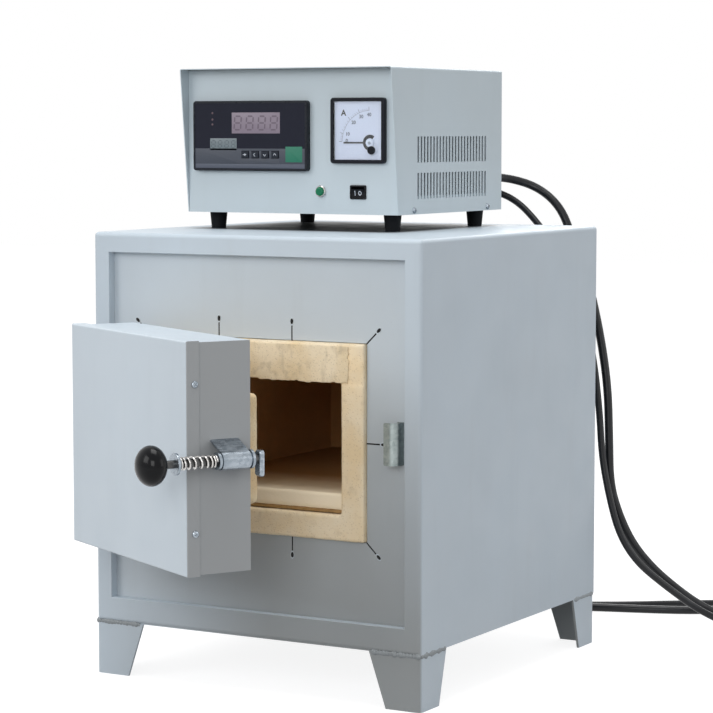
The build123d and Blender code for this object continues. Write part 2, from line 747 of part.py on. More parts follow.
with BuildPart() as hinge_brackets:
    for z in hinge_heights:
        ear_gap = hinge_barrel_height / 2 + SEAT_GAP
        outer = ear_gap + hinge_ear
        block((hinge_x - hinge_barrel_radius, hinge_x + hinge_barrel_radius),
              (panel_y - hinge_strap / 2, panel_y), (z - outer, z + outer))
        for low, high in ((z - outer, z - ear_gap), (z + ear_gap, z + outer)):
            block((hinge_x - hinge_barrel_radius, hinge_x + hinge_barrel_radius),
                  (hinge_y, panel_y - hinge_strap / 2), (low, high))
            rod((hinge_x, hinge_y, low), (hinge_x, hinge_y, high), hinge_barrel_radius)
        rod((hinge_x, hinge_y, z - outer - 1), (hinge_x, hinge_y, z + outer + 1),
            hinge_pin_radius + PIN_FIT, Mode.SUBTRACT)
write(hinge_brackets.part, "hinge_brackets")

with BuildPart() as hinge_pins:
    for z in hinge_heights:
        reach = hinge_barrel_height / 2 + SEAT_GAP + hinge_ear
        rod((hinge_x, hinge_y, z - reach - 1.5), (hinge_x, hinge_y, z + reach), hinge_pin_radius)
        rod((hinge_x, hinge_y, z + reach), (hinge_x, hinge_y, z + reach + 3), hinge_pin_radius + 2.5)
    fillet(hinge_pins.faces().filter_by(Axis.Z).group_by(Axis.Z)[-1].edges(), 1.2)
write(hinge_pins.part, "hinge_pins")


# =================================================================== LATCH
# The knob is pushed in against the spring and turned: the hook then passes
# behind the keeper and the spring draws the door on to the mouth.
washer_y = door_front - front_washer_at
spring_y = washer_y + washer_thickness
rear_washer_y = spring_y + spring_length
tube_y = rear_washer_y + washer_thickness
collar_y = tube_y + tube_length
hook_y = collar_y + tube_collar + hook_gap
knob_y = door_front - knob_reach
saddle_y = tube_y + saddle_start

with BuildPart() as latch_rod:
    rod((rod_x, knob_y, rod_z), (rod_x, hook_y + hook_thickness, rod_z), rod_radius)
write(swung(latch_rod.part), "latch_rod")

with BuildPart() as latch_knob:
    with BuildSketch(Plane.XY.offset(rod_z)) as knob_outline:
        with Locations((rod_x, knob_y)):
            Ellipse(knob_diameter / 2, knob_length / 2)
        with Locations((rod_x - knob_diameter / 2, knob_y)):
            Rectangle(knob_diameter, knob_length * 2, mode=Mode.SUBTRACT)
    revolve(knob_outline.sketch, axis=Axis((rod_x, 0, rod_z), (0, 1, 0)))
    rod((rod_x, knob_y, rod_z), (rod_x, knob_y + knob_length, rod_z), rod_radius, Mode.SUBTRACT)
write(swung(latch_knob.part), "latch_knob")

with BuildPart() as latch_hook:
    with BuildSketch(Plane.XZ.offset(-hook_y - hook_thickness)) as hook_outline:
        with Locations((rod_x, rod_z - (hook_arm - hook_heel) / 2)):
            RectangleRounded(hook_width, hook_arm + hook_heel, 4)
    extrude(hook_outline.sketch, amount=hook_thickness)
    rod((rod_x, hook_y - 1, rod_z), (rod_x, hook_y + hook_thickness + 1, rod_z), rod_radius, Mode.SUBTRACT)
    chamfer(latch_hook.faces().sort_by(Axis.Y)[0].edges().filter_by(GeomType.LINE).sort_by(Axis.Z)[0], 1.5)
write(swung(latch_hook.part), "latch_hook")

with BuildPart() as spring_cup:
    rod((rod_x, washer_y, rod_z), (rod_x, spring_y, rod_z), front_washer_radius)
    rod((rod_x, washer_y - 1, rod_z), (rod_x, spring_y + 1, rod_z), rod_radius + PIN_FIT, Mode.SUBTRACT)
    fillet(spring_cup.faces().sort_by(Axis.Y)[0].edges().sort_by(SortBy.LENGTH)[-1], 1)
write(swung(spring_cup.part), "spring_cup")

with BuildPart() as latch_spring:
    coil_height = spring_length - 2 * spring_wire_radius - 2 * SEAT_GAP
    coil_start = (rod_x, spring_y + spring_wire_radius + SEAT_GAP, rod_z)
    with BuildLine() as coil:
        Helix(coil_height / spring_turns, coil_height, spring_radius, center=coil_start, direction=(0, 1, 0))
    with BuildSketch(Plane(origin=coil.line @ 0, z_dir=coil.line % 0)) as wire:
        Circle(spring_wire_radius)
    sweep(wire.sketch, path=coil.line, is_frenet=True)
write(swung(latch_spring.part), "latch_spring")

with BuildPart() as rear_washer:
    rod((rod_x, rear_washer_y, rod_z), (rod_x, tube_y, rod_z), rear_washer_radius)
    rod((rod_x, rear_washer_y - 1, rod_z), (rod_x, tube_y + 1, rod_z), rod_radius + SLIDE_FIT, Mode.SUBTRACT)
write(swung(rear_washer.part), "rear_washer")

with BuildPart() as guide_tube:
    rod((rod_x, tube_y, rod_z), (rod_x, collar_y, rod_z), tube_radius)
    rod((rod_x, collar_y, rod_z), (rod_x, collar_y + tube_collar, rod_z), tube_collar_radius)
    rod((rod_x, tube_y - 1, rod_z), (rod_x, collar_y + tube_collar + 1, rod_z),
        rod_radius + SLIDE_FIT, Mode.SUBTRACT)
write(swung(guide_tube.part), "guide_tube")

# The saddle is one strip: a slanted cheek, a half round over the tube and a
# lower cheek, both cheeks welded to the free end of the door.
with BuildPart() as latch_saddle:
    inner_radius = tube_radius + SHEET_GAP
    outer_radius = inner_radius + saddle_sheet
    lean = math.atan2(saddle_top - outer_radius, rod_x - casing_x[1])
    slant = (math.sin(lean), math.cos(lean))
    cheek_drop = saddle_sheet / math.cos(lean)
    with BuildSketch(Plane.XZ.offset(-saddle_y)) as strip:
        with BuildLine():
            high = (rod_x + outer_radius * slant[0], rod_z + outer_radius * slant[1])
            inner_high = (rod_x + inner_radius * slant[0], rod_z + inner_radius * slant[1])
            Line((casing_x[1], rod_z + saddle_top), high)
            ThreePointArc(high, (rod_x + outer_radius, rod_z), (rod_x, rod_z - outer_radius))
            Polyline((rod_x, rod_z - outer_radius), (casing_x[1], rod_z - outer_radius),
                     (casing_x[1], rod_z - inner_radius), (rod_x, rod_z - inner_radius))
            ThreePointArc((rod_x, rod_z - inner_radius), (rod_x + inner_radius, rod_z), inner_high)
            Polyline(inner_high, (casing_x[1], rod_z + saddle_top - cheek_drop),
                     (casing_x[1], rod_z + saddle_top))
        make_face()
    extrude(strip.sketch, amount=-saddle_length)
write(swung(latch_saddle.part), "latch_saddle")

# ------------------------------------------------------------------- keeper
keeper_y = panel_y - keeper_stand_off + keeper_sheet
keeper_wall = keeper_right - keeper_sheet
keeper_low = rod_z - keeper_height / 2
with BuildPart() as keeper:
    with BuildSketch(Plane.XY.offset(keeper_low)) as keeper_strip:
        with BuildLine():
            bend_centre = (keeper_wall - keeper_bend, keeper_y + keeper_bend)
            Polyline((bend_centre[0], keeper_y), (keeper_left, keeper_y), (keeper_left, keeper_y - keeper_sheet),
                     (bend_centre[0], keeper_y - keeper_sheet))
            CenterArc(bend_centre, keeper_bend + keeper_sheet, -90, 90)
            Polyline((keeper_right, bend_centre[1]), (keeper_right, panel_y), (keeper_right - keeper_foot, panel_y),
                     (keeper_right - keeper_foot, panel_y - keeper_sheet), (keeper_wall, panel_y - keeper_sheet),
                     (keeper_wall, bend_centre[1]))
            CenterArc(bend_centre, keeper_bend, 0, -90)
        make_face()
    extrude(keeper_strip.sketch, amount=keeper_height)
    web_corners = keeper.edges().filter_by(Axis.Y).group_by(Axis.X)[0]
    fillet(web_corners, keeper_corner)
write(keeper.part, "keeper")

with BuildPart() as keeper_rivets:
    for side in (-1, 1):
        with BuildSketch(Plane.XZ.offset(keeper_sheet - panel_y)) as rivet_head:
            with Locations((keeper_right - keeper_foot / 2 - keeper_sheet / 2, rod_z + side * rivet_spread / 2)):
                Circle(rivet_radius)
        extrude(rivet_head.sketch, amount=rivet_head_height, taper=25)
write(keeper_rivets.part, "keeper_rivets")


# ============================================================== CONTROLLER
# The cover is one sheet bent over the top, with slanted front edges that
# carry the top forward as a visor.
def cover_profile(inset):
    """Side view of the cover, drawn in by the sheet's thickness."""
    with BuildSketch(Plane.YZ.offset(cabinet_left + inset)) as profile:
        with BuildLine():
            Polyline((cabinet_front, cabinet_low - inset), (cabinet_front - visor_reach, cabinet_high - inset),
                     (cabinet_back + inset, cabinet_high - inset), (cabinet_back + inset, cabinet_low - inset),
                     close=True)
        make_face()
    return profile.sketch


def vent_block(rows):
    """The slots of one side, as solid pegs that cut the cover."""
    with BuildPart() as pegs:
        for row in range(rows):
            slot_z = cabinet_low + vent_bottom + vent_height / 2 + row * vent_row_pitch
            middle = cabinet_front + vent_start + vent_pitch * (vent_count - 1) / 2
            with Locations((cabinet_centre, middle, slot_z)):
                with GridLocations(0, vent_pitch, 1, vent_count):
                    Box(cabinet_width + 2, vent_width, vent_height)
    return pegs.part


with BuildPart() as cabinet_cover:
    add(extrude(cover_profile(0), amount=cabinet_width))
    top_bends = cabinet_cover.faces().sort_by(Axis.Z)[-1].edges().filter_by(Axis.Y)
    fillet(top_bends, cabinet_edge_radius)
    with BuildPart(mode=Mode.PRIVATE) as cover_core:
        add(extrude(cover_profile(cabinet_sheet), amount=cabinet_width - 2 * cabinet_sheet))
        block((cabinet_left + cabinet_sheet, cabinet_right - cabinet_sheet),
              (cabinet_front - visor_reach - 1, cabinet_front + 1), (cabinet_low - 1, cabinet_high - cabinet_sheet))
        core_bends = cover_core.faces().sort_by(Axis.Z)[-1].edges().filter_by(Axis.Y)
        fillet(core_bends, cabinet_edge_radius - cabinet_sheet)
    add(cover_core.part, mode=Mode.SUBTRACT)
    add(vent_block(vent_rows), mode=Mode.SUBTRACT)
    for side, places in cabinet_screw_places.items():
        screw_holes(places, (side, 0, 0), cabinet_sheet)
write(cabinet_cover.part, "cabinet_cover")

# Base, back and the side lips that take the screws are bent from one sheet.
tray_x = (cabinet_left + cabinet_sheet + SHEET_GAP, cabinet_right - cabinet_sheet - SHEET_GAP)
tray_top = cabinet_high - cabinet_sheet - SHEET_GAP
with BuildPart() as cabinet_tray:
    block(tray_x, (cabinet_front + face_sheet + SHEET_GAP, cabinet_back),
          (cabinet_low, cabinet_low + cabinet_sheet))
    block(tray_x, (cabinet_back - cabinet_sheet, cabinet_back), (cabinet_low, tray_top))
    for edge in (tray_x[0], tray_x[1] - cabinet_sheet):
        block((edge, edge + cabinet_sheet), (cabinet_front + face_sheet + SHEET_GAP, cabinet_back),
              (cabinet_low, cabinet_low + tray_lip))
    fillet(cabinet_tray.edges().filter_by(Axis.Y).group_by(Axis.Z)[-1], cabinet_sheet)
    with BuildSketch(Plane.XZ.offset(-cabinet_back - 1)) as back_slots:
        with Locations((cabinet_centre, cabinet_high - back_vent_drop)):
            with GridLocations(back_vent_length + back_vent_gap, back_vent_pitch, 3, 4):
                SlotOverall(back_vent_length, back_vent_width)
        with Locations(*cabinet_gland_places):
            Circle(gland_thread_radius + PIN_FIT)
    extrude(back_slots.sketch, amount=cabinet_sheet + 2, mode=Mode.SUBTRACT)
    for side, places in cabinet_screw_places.items():
        screw_holes(places, (side, 0, 0), 2 * cabinet_sheet + SHEET_GAP)
write(cabinet_tray.part, "cabinet_tray")

with BuildPart() as case_screws:
    add(make_screws(back_screw_places, (0, 1, 0), body_sheet))
    add(make_screws(cover_screw_places, (0, 1, 0), terminal_sheet + body_sheet))
    for side, places in cabinet_screw_places.items():
        add(make_screws(places, (side, 0, 0), 2 * cabinet_sheet + SHEET_GAP))
write(case_screws.part, "case_screws")

with BuildPart() as cable_glands:
    for x, y in gland_places:
        add(make_gland((x, y, terminal_low), (0, 0, -1)))
    for x, z in cabinet_gland_places:
        add(make_gland((x, cabinet_back, z), (0, 1, 0)))
write(cable_glands.part, "cable_glands")

with BuildPart() as cabinet_feet:
    for x in (cabinet_left + foot_side_inset, cabinet_right - foot_side_inset):
        for y in (cabinet_front + foot_front_inset, cabinet_back - foot_back_inset):
            with BuildSketch(Plane.XY.offset(body_top)) as foot_sole:
                with Locations((x, y)):
                    Circle(foot_bottom_radius)
            with BuildSketch(Plane.XY.offset(cabinet_low)) as foot_head:
                with Locations((x, y)):
                    Circle(foot_top_radius)
            loft()
write(cabinet_feet.part, "cabinet_feet")

# ---------------------------------------------------------- front of the case
face_y = cabinet_front
instrument_x = (cabinet_left + instrument_left, cabinet_left + instrument_left + instrument_width)
instrument_z = (cabinet_low + instrument_bottom, cabinet_low + instrument_bottom + instrument_height)
meter_x = (cabinet_right - meter_right_inset - meter_width, cabinet_right - meter_right_inset)
meter_z = (cabinet_low + meter_bottom, cabinet_low + meter_bottom + meter_height)
lamp_at = (cabinet_left + lamp_left, cabinet_low + lamp_rise)
switch_x = (cabinet_right - switch_right_inset - switch_width, cabinet_right - switch_right_inset)
switch_z = (cabinet_low + switch_bottom, cabinet_low + switch_bottom + switch_height)


def inside(span, margin):
    """A span drawn in at both ends."""
    return (span[0] + margin, span[1] - margin)


with BuildPart() as cabinet_front_panel:
    block(tray_x, (face_y, face_y + face_sheet), (cabinet_low, tray_top))
    fillet(cabinet_front_panel.edges().filter_by(Axis.Y).group_by(Axis.Z)[-1], cabinet_edge_radius)
    for cutout_x, cutout_z in ((inside(instrument_x, instrument_flange), inside(instrument_z, instrument_flange)),
                               (inside(switch_x, switch_flange), inside(switch_z, switch_flange))):
        block(inside(cutout_x, -PIN_FIT), (face_y - 1, face_y + face_sheet + 1), inside(cutout_z, -PIN_FIT),
              Mode.SUBTRACT)
    meter_centre = (sum(meter_x) / 2, sum(meter_z) / 2)
    for (x, z), radius in ((meter_centre, meter_body_radius), (lamp_at, lamp_body_radius)):
        rod((x, face_y - 1, z), (x, face_y + face_sheet + 1, z), radius + PIN_FIT, Mode.SUBTRACT)
write(cabinet_front_panel.part, "cabinet_front")

key_spans = [((instrument_x[0] + key_left + index * key_pitch,
               instrument_x[0] + key_left + index * key_pitch + key_width),
              (instrument_z[0] + key_bottom, instrument_z[0] + key_bottom + key_height))
             for index in range(key_count)]
bezel_y = face_y - instrument_bezel
key_back = bezel_y - key_proud + key_depth

with BuildPart() as instrument_body:
    block(instrument_x, (bezel_y, face_y), instrument_z)
    fillet(instrument_body.edges().filter_by(Axis.Y), instrument_corner)
    fillet(instrument_body.faces().sort_by(Axis.Y)[0].edges(), 1.2)
    block(inside(instrument_x, instrument_rim), (bezel_y - 1, bezel_y + instrument_well),
          inside(instrument_z, instrument_rim), Mode.SUBTRACT)
    block(inside(instrument_x, instrument_flange), (face_y, face_y + instrument_body_depth),
          inside(instrument_z, instrument_flange))
    for key_x, key_z in key_spans:
        block(inside(key_x, -SEAT_GAP), (bezel_y, key_back + key_travel + SEAT_GAP),
              inside(key_z, -SEAT_GAP), Mode.SUBTRACT)
write(instrument_body.part, "instrument_body")

with BuildPart() as instrument_window:
    block(inside(instrument_x, instrument_rim), (bezel_y + window_sunk, bezel_y + instrument_well),
          inside(instrument_z, instrument_rim))
    for key_x, key_z in key_spans:
        block(inside(key_x, -SEAT_GAP), (bezel_y - 1, bezel_y + instrument_well + 1),
              inside(key_z, -SEAT_GAP), Mode.SUBTRACT)
write(instrument_window.part, "instrument_window")

for index, (key_x, key_z) in enumerate(key_spans):
    with BuildPart() as key:
        block(key_x, (bezel_y - key_proud, key_back), key_z)
        fillet(key.edges().filter_by(Axis.Y), 1.5)
        fillet(key.faces().sort_by(Axis.Y)[0].edges(), 0.5)
    write(key.part, "key_" + str(index + 1))

# ------------------------------------------------------------------- ammeter
meter_y = face_y - meter_depth
dial_y = meter_y + meter_well
cover_back = meter_y + meter_cover_sheet
pivot_at = (meter_x[1] - pivot_inset, meter_z[0] + pivot_rise)
zero_at = (pivot_at[0] + zero_screw_shift, pivot_at[1] - zero_screw_drop)
well_x = inside(meter_x, meter_rim)
well_z = inside(meter_z, meter_rim)

with BuildPart() as meter_case:
    block(meter_x, (meter_y, face_y), meter_z)
    fillet(meter_case.edges().filter_by(Axis.Y), meter_corner)
    fillet(meter_case.faces().sort_by(Axis.Y)[0].edges(), 1)
    block(well_x, (meter_y - 1, dial_y), well_z, Mode.SUBTRACT)
    rod((meter_centre[0], face_y, meter_centre[1]),
        (meter_centre[0], face_y + meter_body_depth, meter_centre[1]), meter_body_radius)
write(meter_case.part, "meter_case")

with BuildPart() as meter_dial:
    block(well_x, (dial_y - dial_sheet, dial_y), well_z)
write(meter_dial.part, "meter_dial")

with BuildPart() as meter_cover:
    block(well_x, (meter_y + window_sunk, cover_back), well_z)
    rod((zero_at[0], meter_y - 1, zero_at[1]), (zero_at[0], cover_back + 1, zero_at[1]),
        zero_screw_radius + SLIDE_FIT, Mode.SUBTRACT)
write(meter_cover.part, "meter_cover")

# At rest the needle lies level, pointing left; full scale is straight up.
with BuildPart() as meter_needle:
    needle_plane = Plane.XZ.offset(SEAT_GAP + dial_sheet - dial_y)
    with BuildSketch(needle_plane) as needle_outline:
        with Locations(pivot_at):
            Circle(needle_hub_radius)
        with Locations((pivot_at[0] - needle_length / 2, pivot_at[1])):
            Rectangle(needle_length, needle_width)
    extrude(needle_outline.sketch, amount=needle_sheet)
write(meter_needle.part, "meter_needle")

with BuildPart() as zero_screw:
    rod((zero_at[0], meter_y - zero_screw_proud, zero_at[1]), (zero_at[0], cover_back, zero_at[1]),
        zero_screw_radius)
    screw_face = zero_screw.faces().sort_by(Axis.Y)[0]
    fillet(screw_face.edges(), 0.6)
    block((zero_at[0] - zero_screw_radius - 1, zero_at[0] + zero_screw_radius + 1),
          (meter_y - zero_screw_proud - 1, meter_y - zero_screw_proud + 0.8),
          (zero_at[1] - 0.5, zero_at[1] + 0.5), Mode.SUBTRACT)
write(zero_screw.part, "zero_screw")

# ------------------------------------------------------------ lamp and switch
with BuildPart() as lamp_bezel:
    rod((lamp_at[0], face_y - lamp_bezel_depth, lamp_at[1]), (lamp_at[0], face_y, lamp_at[1]), lamp_bezel_radius)
    chamfer(lamp_bezel.faces().sort_by(Axis.Y)[0].edges(), 0.8)
    rod((lamp_at[0], face_y, lamp_at[1]), (lamp_at[0], face_y + lamp_body_depth, lamp_at[1]), lamp_body_radius)
    rod((lamp_at[0], face_y - lamp_bezel_depth - 1, lamp_at[1]), (lamp_at[0], face_y - 1, lamp_at[1]),
        lamp_radius, Mode.SUBTRACT)
write(lamp_bezel.part, "lamp_bezel")

with BuildPart() as lamp_lens:
    rod((lamp_at[0], face_y - lamp_bezel_depth - lamp_lens_proud, lamp_at[1]),
        (lamp_at[0], face_y - 1, lamp_at[1]), lamp_radius)
    fillet(lamp_lens.faces().sort_by(Axis.Y)[0].edges(), lamp_lens_proud)
write(lamp_lens.part, "lamp_lens")

rocker_at = (sum(switch_x) / 2, face_y + rocker_set_back, sum(switch_z) / 2)
with BuildPart() as switch_frame:
    block(switch_x, (face_y - switch_proud, face_y), switch_z)
    fillet(switch_frame.edges().filter_by(Axis.Y), 1.5)
    fillet(switch_frame.faces().sort_by(Axis.Y)[0].edges(), 0.6)
    block(inside(switch_x, switch_flange), (face_y, face_y + switch_body_depth), inside(switch_z, switch_flange))
    well_wall = switch_flange + switch_wall
    block(inside(switch_x, well_wall), (face_y - switch_proud - 1, face_y + switch_body_depth - switch_wall),
          inside(switch_z, well_wall), Mode.SUBTRACT)
    rod((switch_x[0] + switch_flange + switch_wall / 2, rocker_at[1], rocker_at[2]),
        (switch_x[1] - switch_flange - switch_wall / 2, rocker_at[1], rocker_at[2]),
        rocker_pin_radius + PIN_FIT, Mode.SUBTRACT)
write(switch_frame.part, "switch_frame")

with BuildPart() as switch_rocker:
    rocker_x = inside(switch_x, switch_flange + switch_wall + SEAT_GAP)
    with BuildSketch(Plane.YZ.offset(rocker_x[0])) as rocker_profile:
        with BuildLine():
            Polyline((rocker_at[1] - rocker_end_reach, rocker_at[2] - rocker_half_height),
                     (rocker_at[1] - rocker_mid_reach, rocker_at[2]),
                     (rocker_at[1] - rocker_end_reach, rocker_at[2] + rocker_half_height),
                     (rocker_at[1] + rocker_tail, rocker_at[2] + rocker_tail_half),
                     (rocker_at[1] + rocker_tail, rocker_at[2] - rocker_tail_half), close=True)
        make_face()
    extrude(rocker_profile.sketch, amount=rocker_x[1] - rocker_x[0])
    rod((rocker_x[0] - rocker_pin, rocker_at[1], rocker_at[2]),
        (rocker_x[1] + rocker_pin, rocker_at[1], rocker_at[2]), rocker_pin_radius)
write(switch_rocker.part.rotate(Axis(rocker_at, (1, 0, 0)), rocker_tilt), "switch_rocker")


# =================================================================== CORDS
# Routes chosen by hand: out of the controller's back, down behind the
# furnace, one loop on the bench, and up into the furnace's terminal cover.
def cord(points, radius):
    """A round tube along straight runs joined by the largest tangent arcs."""
    vectors = [Vector(*point) for point in points]
    runs = [after - before for before, after in zip(vectors, vectors[1:])]
    radii = [0.45 * min(run.length, following.length) / math.tan(math.radians(run.get_angle(following) / 2))
             for run, following in zip(runs, runs[1:])]
    with BuildPart() as tube:
        with BuildLine() as route:
            FilletPolyline(*points, radius=radii)
        with BuildSketch(Plane(origin=points[0], z_dir=runs[0])) as section:
            Circle(radius)
        sweep(section.sketch, path=route.line)
    length = route.wires()[0].length
    print("cord length %.0f, volume over section times length %.4f"
          % (length, tube.part.volume / (math.pi * radius ** 2 * length)))
    print("radii", *("%.0f" % bend for bend in radii))
    return tube.part


heater_cord_route = (
    (55, 214.5, 600), (55, 252.5, 600), (75, 287, 598), (108, 306, 586), (141, 304, 561), (160, 300, 523),
    (187, 292, 469), (207, 286, 402), (221, 283, 330), (224, 282, 259), (225, 283, 203), (235, 287, 164),
    (250, 299, 123), (270, 321, 88), (292, 353, 57), (307, 393, 31), (344, 415, 9), (392, 419, 5.5),
    (430, 451, 5.5), (436, 501, 5.5), (405, 541, 5.5), (355, 544, 5.5), (309, 513, 5.5), (268, 477, 5.5),
    (215, 455, 5.5), (156, 436, 5.5), (98, 413, 6), (55, 371, 20), (38, 327, 62), (36, 281, 104),
    (37, 261, 150), (37, 261, 197),
)
sensor_cord_route = (
    (30, 214.5, 585), (30, 247, 585), (47, 276, 583), (75, 292, 573), (107, 290, 549), (156, 279, 496),
    (187, 274, 437), (206, 271, 366), (216, 269, 296), (220, 268, 239), (231, 268, 186), (244, 271, 138),
    (263, 283, 102), (288, 308, 72), (330, 355, 26), (400, 365, 4.5), (468, 387, 4.5), (516, 437, 4.5),
    (532, 505, 4.5), (514, 573, 4.5), (458, 615, 4.5), (390, 611, 4.5), (324, 581, 4.5), (245, 534, 4.5),
    (160, 470, 4.5), (75, 425, 4.5), (10, 383, 10), (-22, 335, 50), (-33, 285, 100), (-33, 261, 150),
    (-33, 261, 197),
)
write(cord(heater_cord_route, heater_cord_radius), "heater_cord")
write(cord(sensor_cord_route, sensor_cord_radius), "sensor_cord")
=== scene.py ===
"""Dressing of a box muffle furnace: its finishes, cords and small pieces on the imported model.

Lengths are metres unless a name ends in _mm. +X is to the operator's right, +Y to the back and
+Z up. The origin is on the bench, under the middle of the furnace body.
"""
from __future__ import annotations

import json
import logging
import math
from dataclasses import dataclass
from enum import Enum
from typing import Any, Callable, Iterable, Sequence

import bmesh
import bpy
from mathutils import Euler, Matrix, Vector, noise

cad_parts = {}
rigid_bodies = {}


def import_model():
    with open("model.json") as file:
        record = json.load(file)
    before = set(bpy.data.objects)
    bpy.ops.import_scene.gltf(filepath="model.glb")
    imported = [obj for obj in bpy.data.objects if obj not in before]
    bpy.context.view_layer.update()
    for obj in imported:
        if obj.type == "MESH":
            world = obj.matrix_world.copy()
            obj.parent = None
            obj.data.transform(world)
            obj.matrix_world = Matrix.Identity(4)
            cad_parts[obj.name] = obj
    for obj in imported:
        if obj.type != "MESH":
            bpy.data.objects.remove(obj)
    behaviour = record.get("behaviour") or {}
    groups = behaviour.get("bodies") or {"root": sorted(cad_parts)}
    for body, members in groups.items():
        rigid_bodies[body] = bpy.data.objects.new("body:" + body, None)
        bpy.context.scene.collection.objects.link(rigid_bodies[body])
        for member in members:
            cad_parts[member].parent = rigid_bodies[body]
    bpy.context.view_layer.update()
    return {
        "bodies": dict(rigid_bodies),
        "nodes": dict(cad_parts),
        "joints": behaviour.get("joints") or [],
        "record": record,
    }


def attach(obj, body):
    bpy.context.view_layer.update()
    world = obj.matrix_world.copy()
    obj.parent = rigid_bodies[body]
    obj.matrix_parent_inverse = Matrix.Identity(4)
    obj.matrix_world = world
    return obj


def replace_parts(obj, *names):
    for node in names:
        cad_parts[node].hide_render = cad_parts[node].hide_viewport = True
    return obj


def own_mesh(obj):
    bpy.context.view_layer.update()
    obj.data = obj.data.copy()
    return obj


LOG = logging.getLogger("muffle_furnace")
BUILT: dict[str, bpy.types.Material] = {}
MM = 0.001
SMOOTH = 3.2  # crease angle in radians past which no edge is left sharp
STAND_UP = Matrix.Rotation(math.pi / 2, 4, "X")
Triple = tuple[float, float, float]
Pair = tuple[float, float]
TO_FRONT: Triple = (0.0, -1.0, 0.0)
TO_BACK: Triple = (0.0, 1.0, 0.0)


def tone(red: float, green: float, blue: float) -> Triple:
    """Turn a colour written 0 to 255 into linear light.

    Args:
        red: Red, 0 to 255.
        green: Green, 0 to 255.
        blue: Blue, 0 to 255.

    Returns:
        The three values in linear light, 0 to 1.
    """
    parts = [value / 255 for value in (red, green, blue)]
    return tuple(v / 12.92 if v <= 0.04045 else ((v + 0.055) / 1.055) ** 2.4 for v in parts)


class KeyMark(Enum):
    """What is printed on each of the four keys, from the left."""

    ENTER = "enter"
    SHIFT = "shift"
    LOWER = "lower"
    RAISE = "raise"


# ---------------------------------------------------------------------- nodes
class NodeWork:
    """Adds nodes to a tree and fills their inputs."""

    def __init__(self, tree: bpy.types.NodeTree) -> None:
        """Work on a tree.

        Args:
            tree: The node tree.
        """
        self.tree = tree

    def feed(self, socket: Any, value: Any) -> None:
        """Link a socket, or set it where the value is a number or colour.

        Args:
            socket: Input socket to fill.
            value: Another socket, a number, or a colour of three numbers.
        """
        if isinstance(value, bpy.types.NodeSocket):
            self.tree.links.new(value, socket)
        elif isinstance(value, tuple) and len(value) == 3 and socket.type == "RGBA":
            socket.default_value = (*value, 1.0)
        else:
            socket.default_value = value

    def node(self, kind: str, inputs: dict[Any, Any] | None = None, **settings: Any) -> Any:
        """Add a node.

        Args:
            kind: Node type.
            inputs: Value or socket for each named or numbered input.
            **settings: Node properties.

        Returns:
            The node.
        """
        made = self.tree.nodes.new(kind)
        for key, value in settings.items():
            setattr(made, key, value)
        for key, value in (inputs or {}).items():
            self.feed(made.inputs[key], value)
        return made


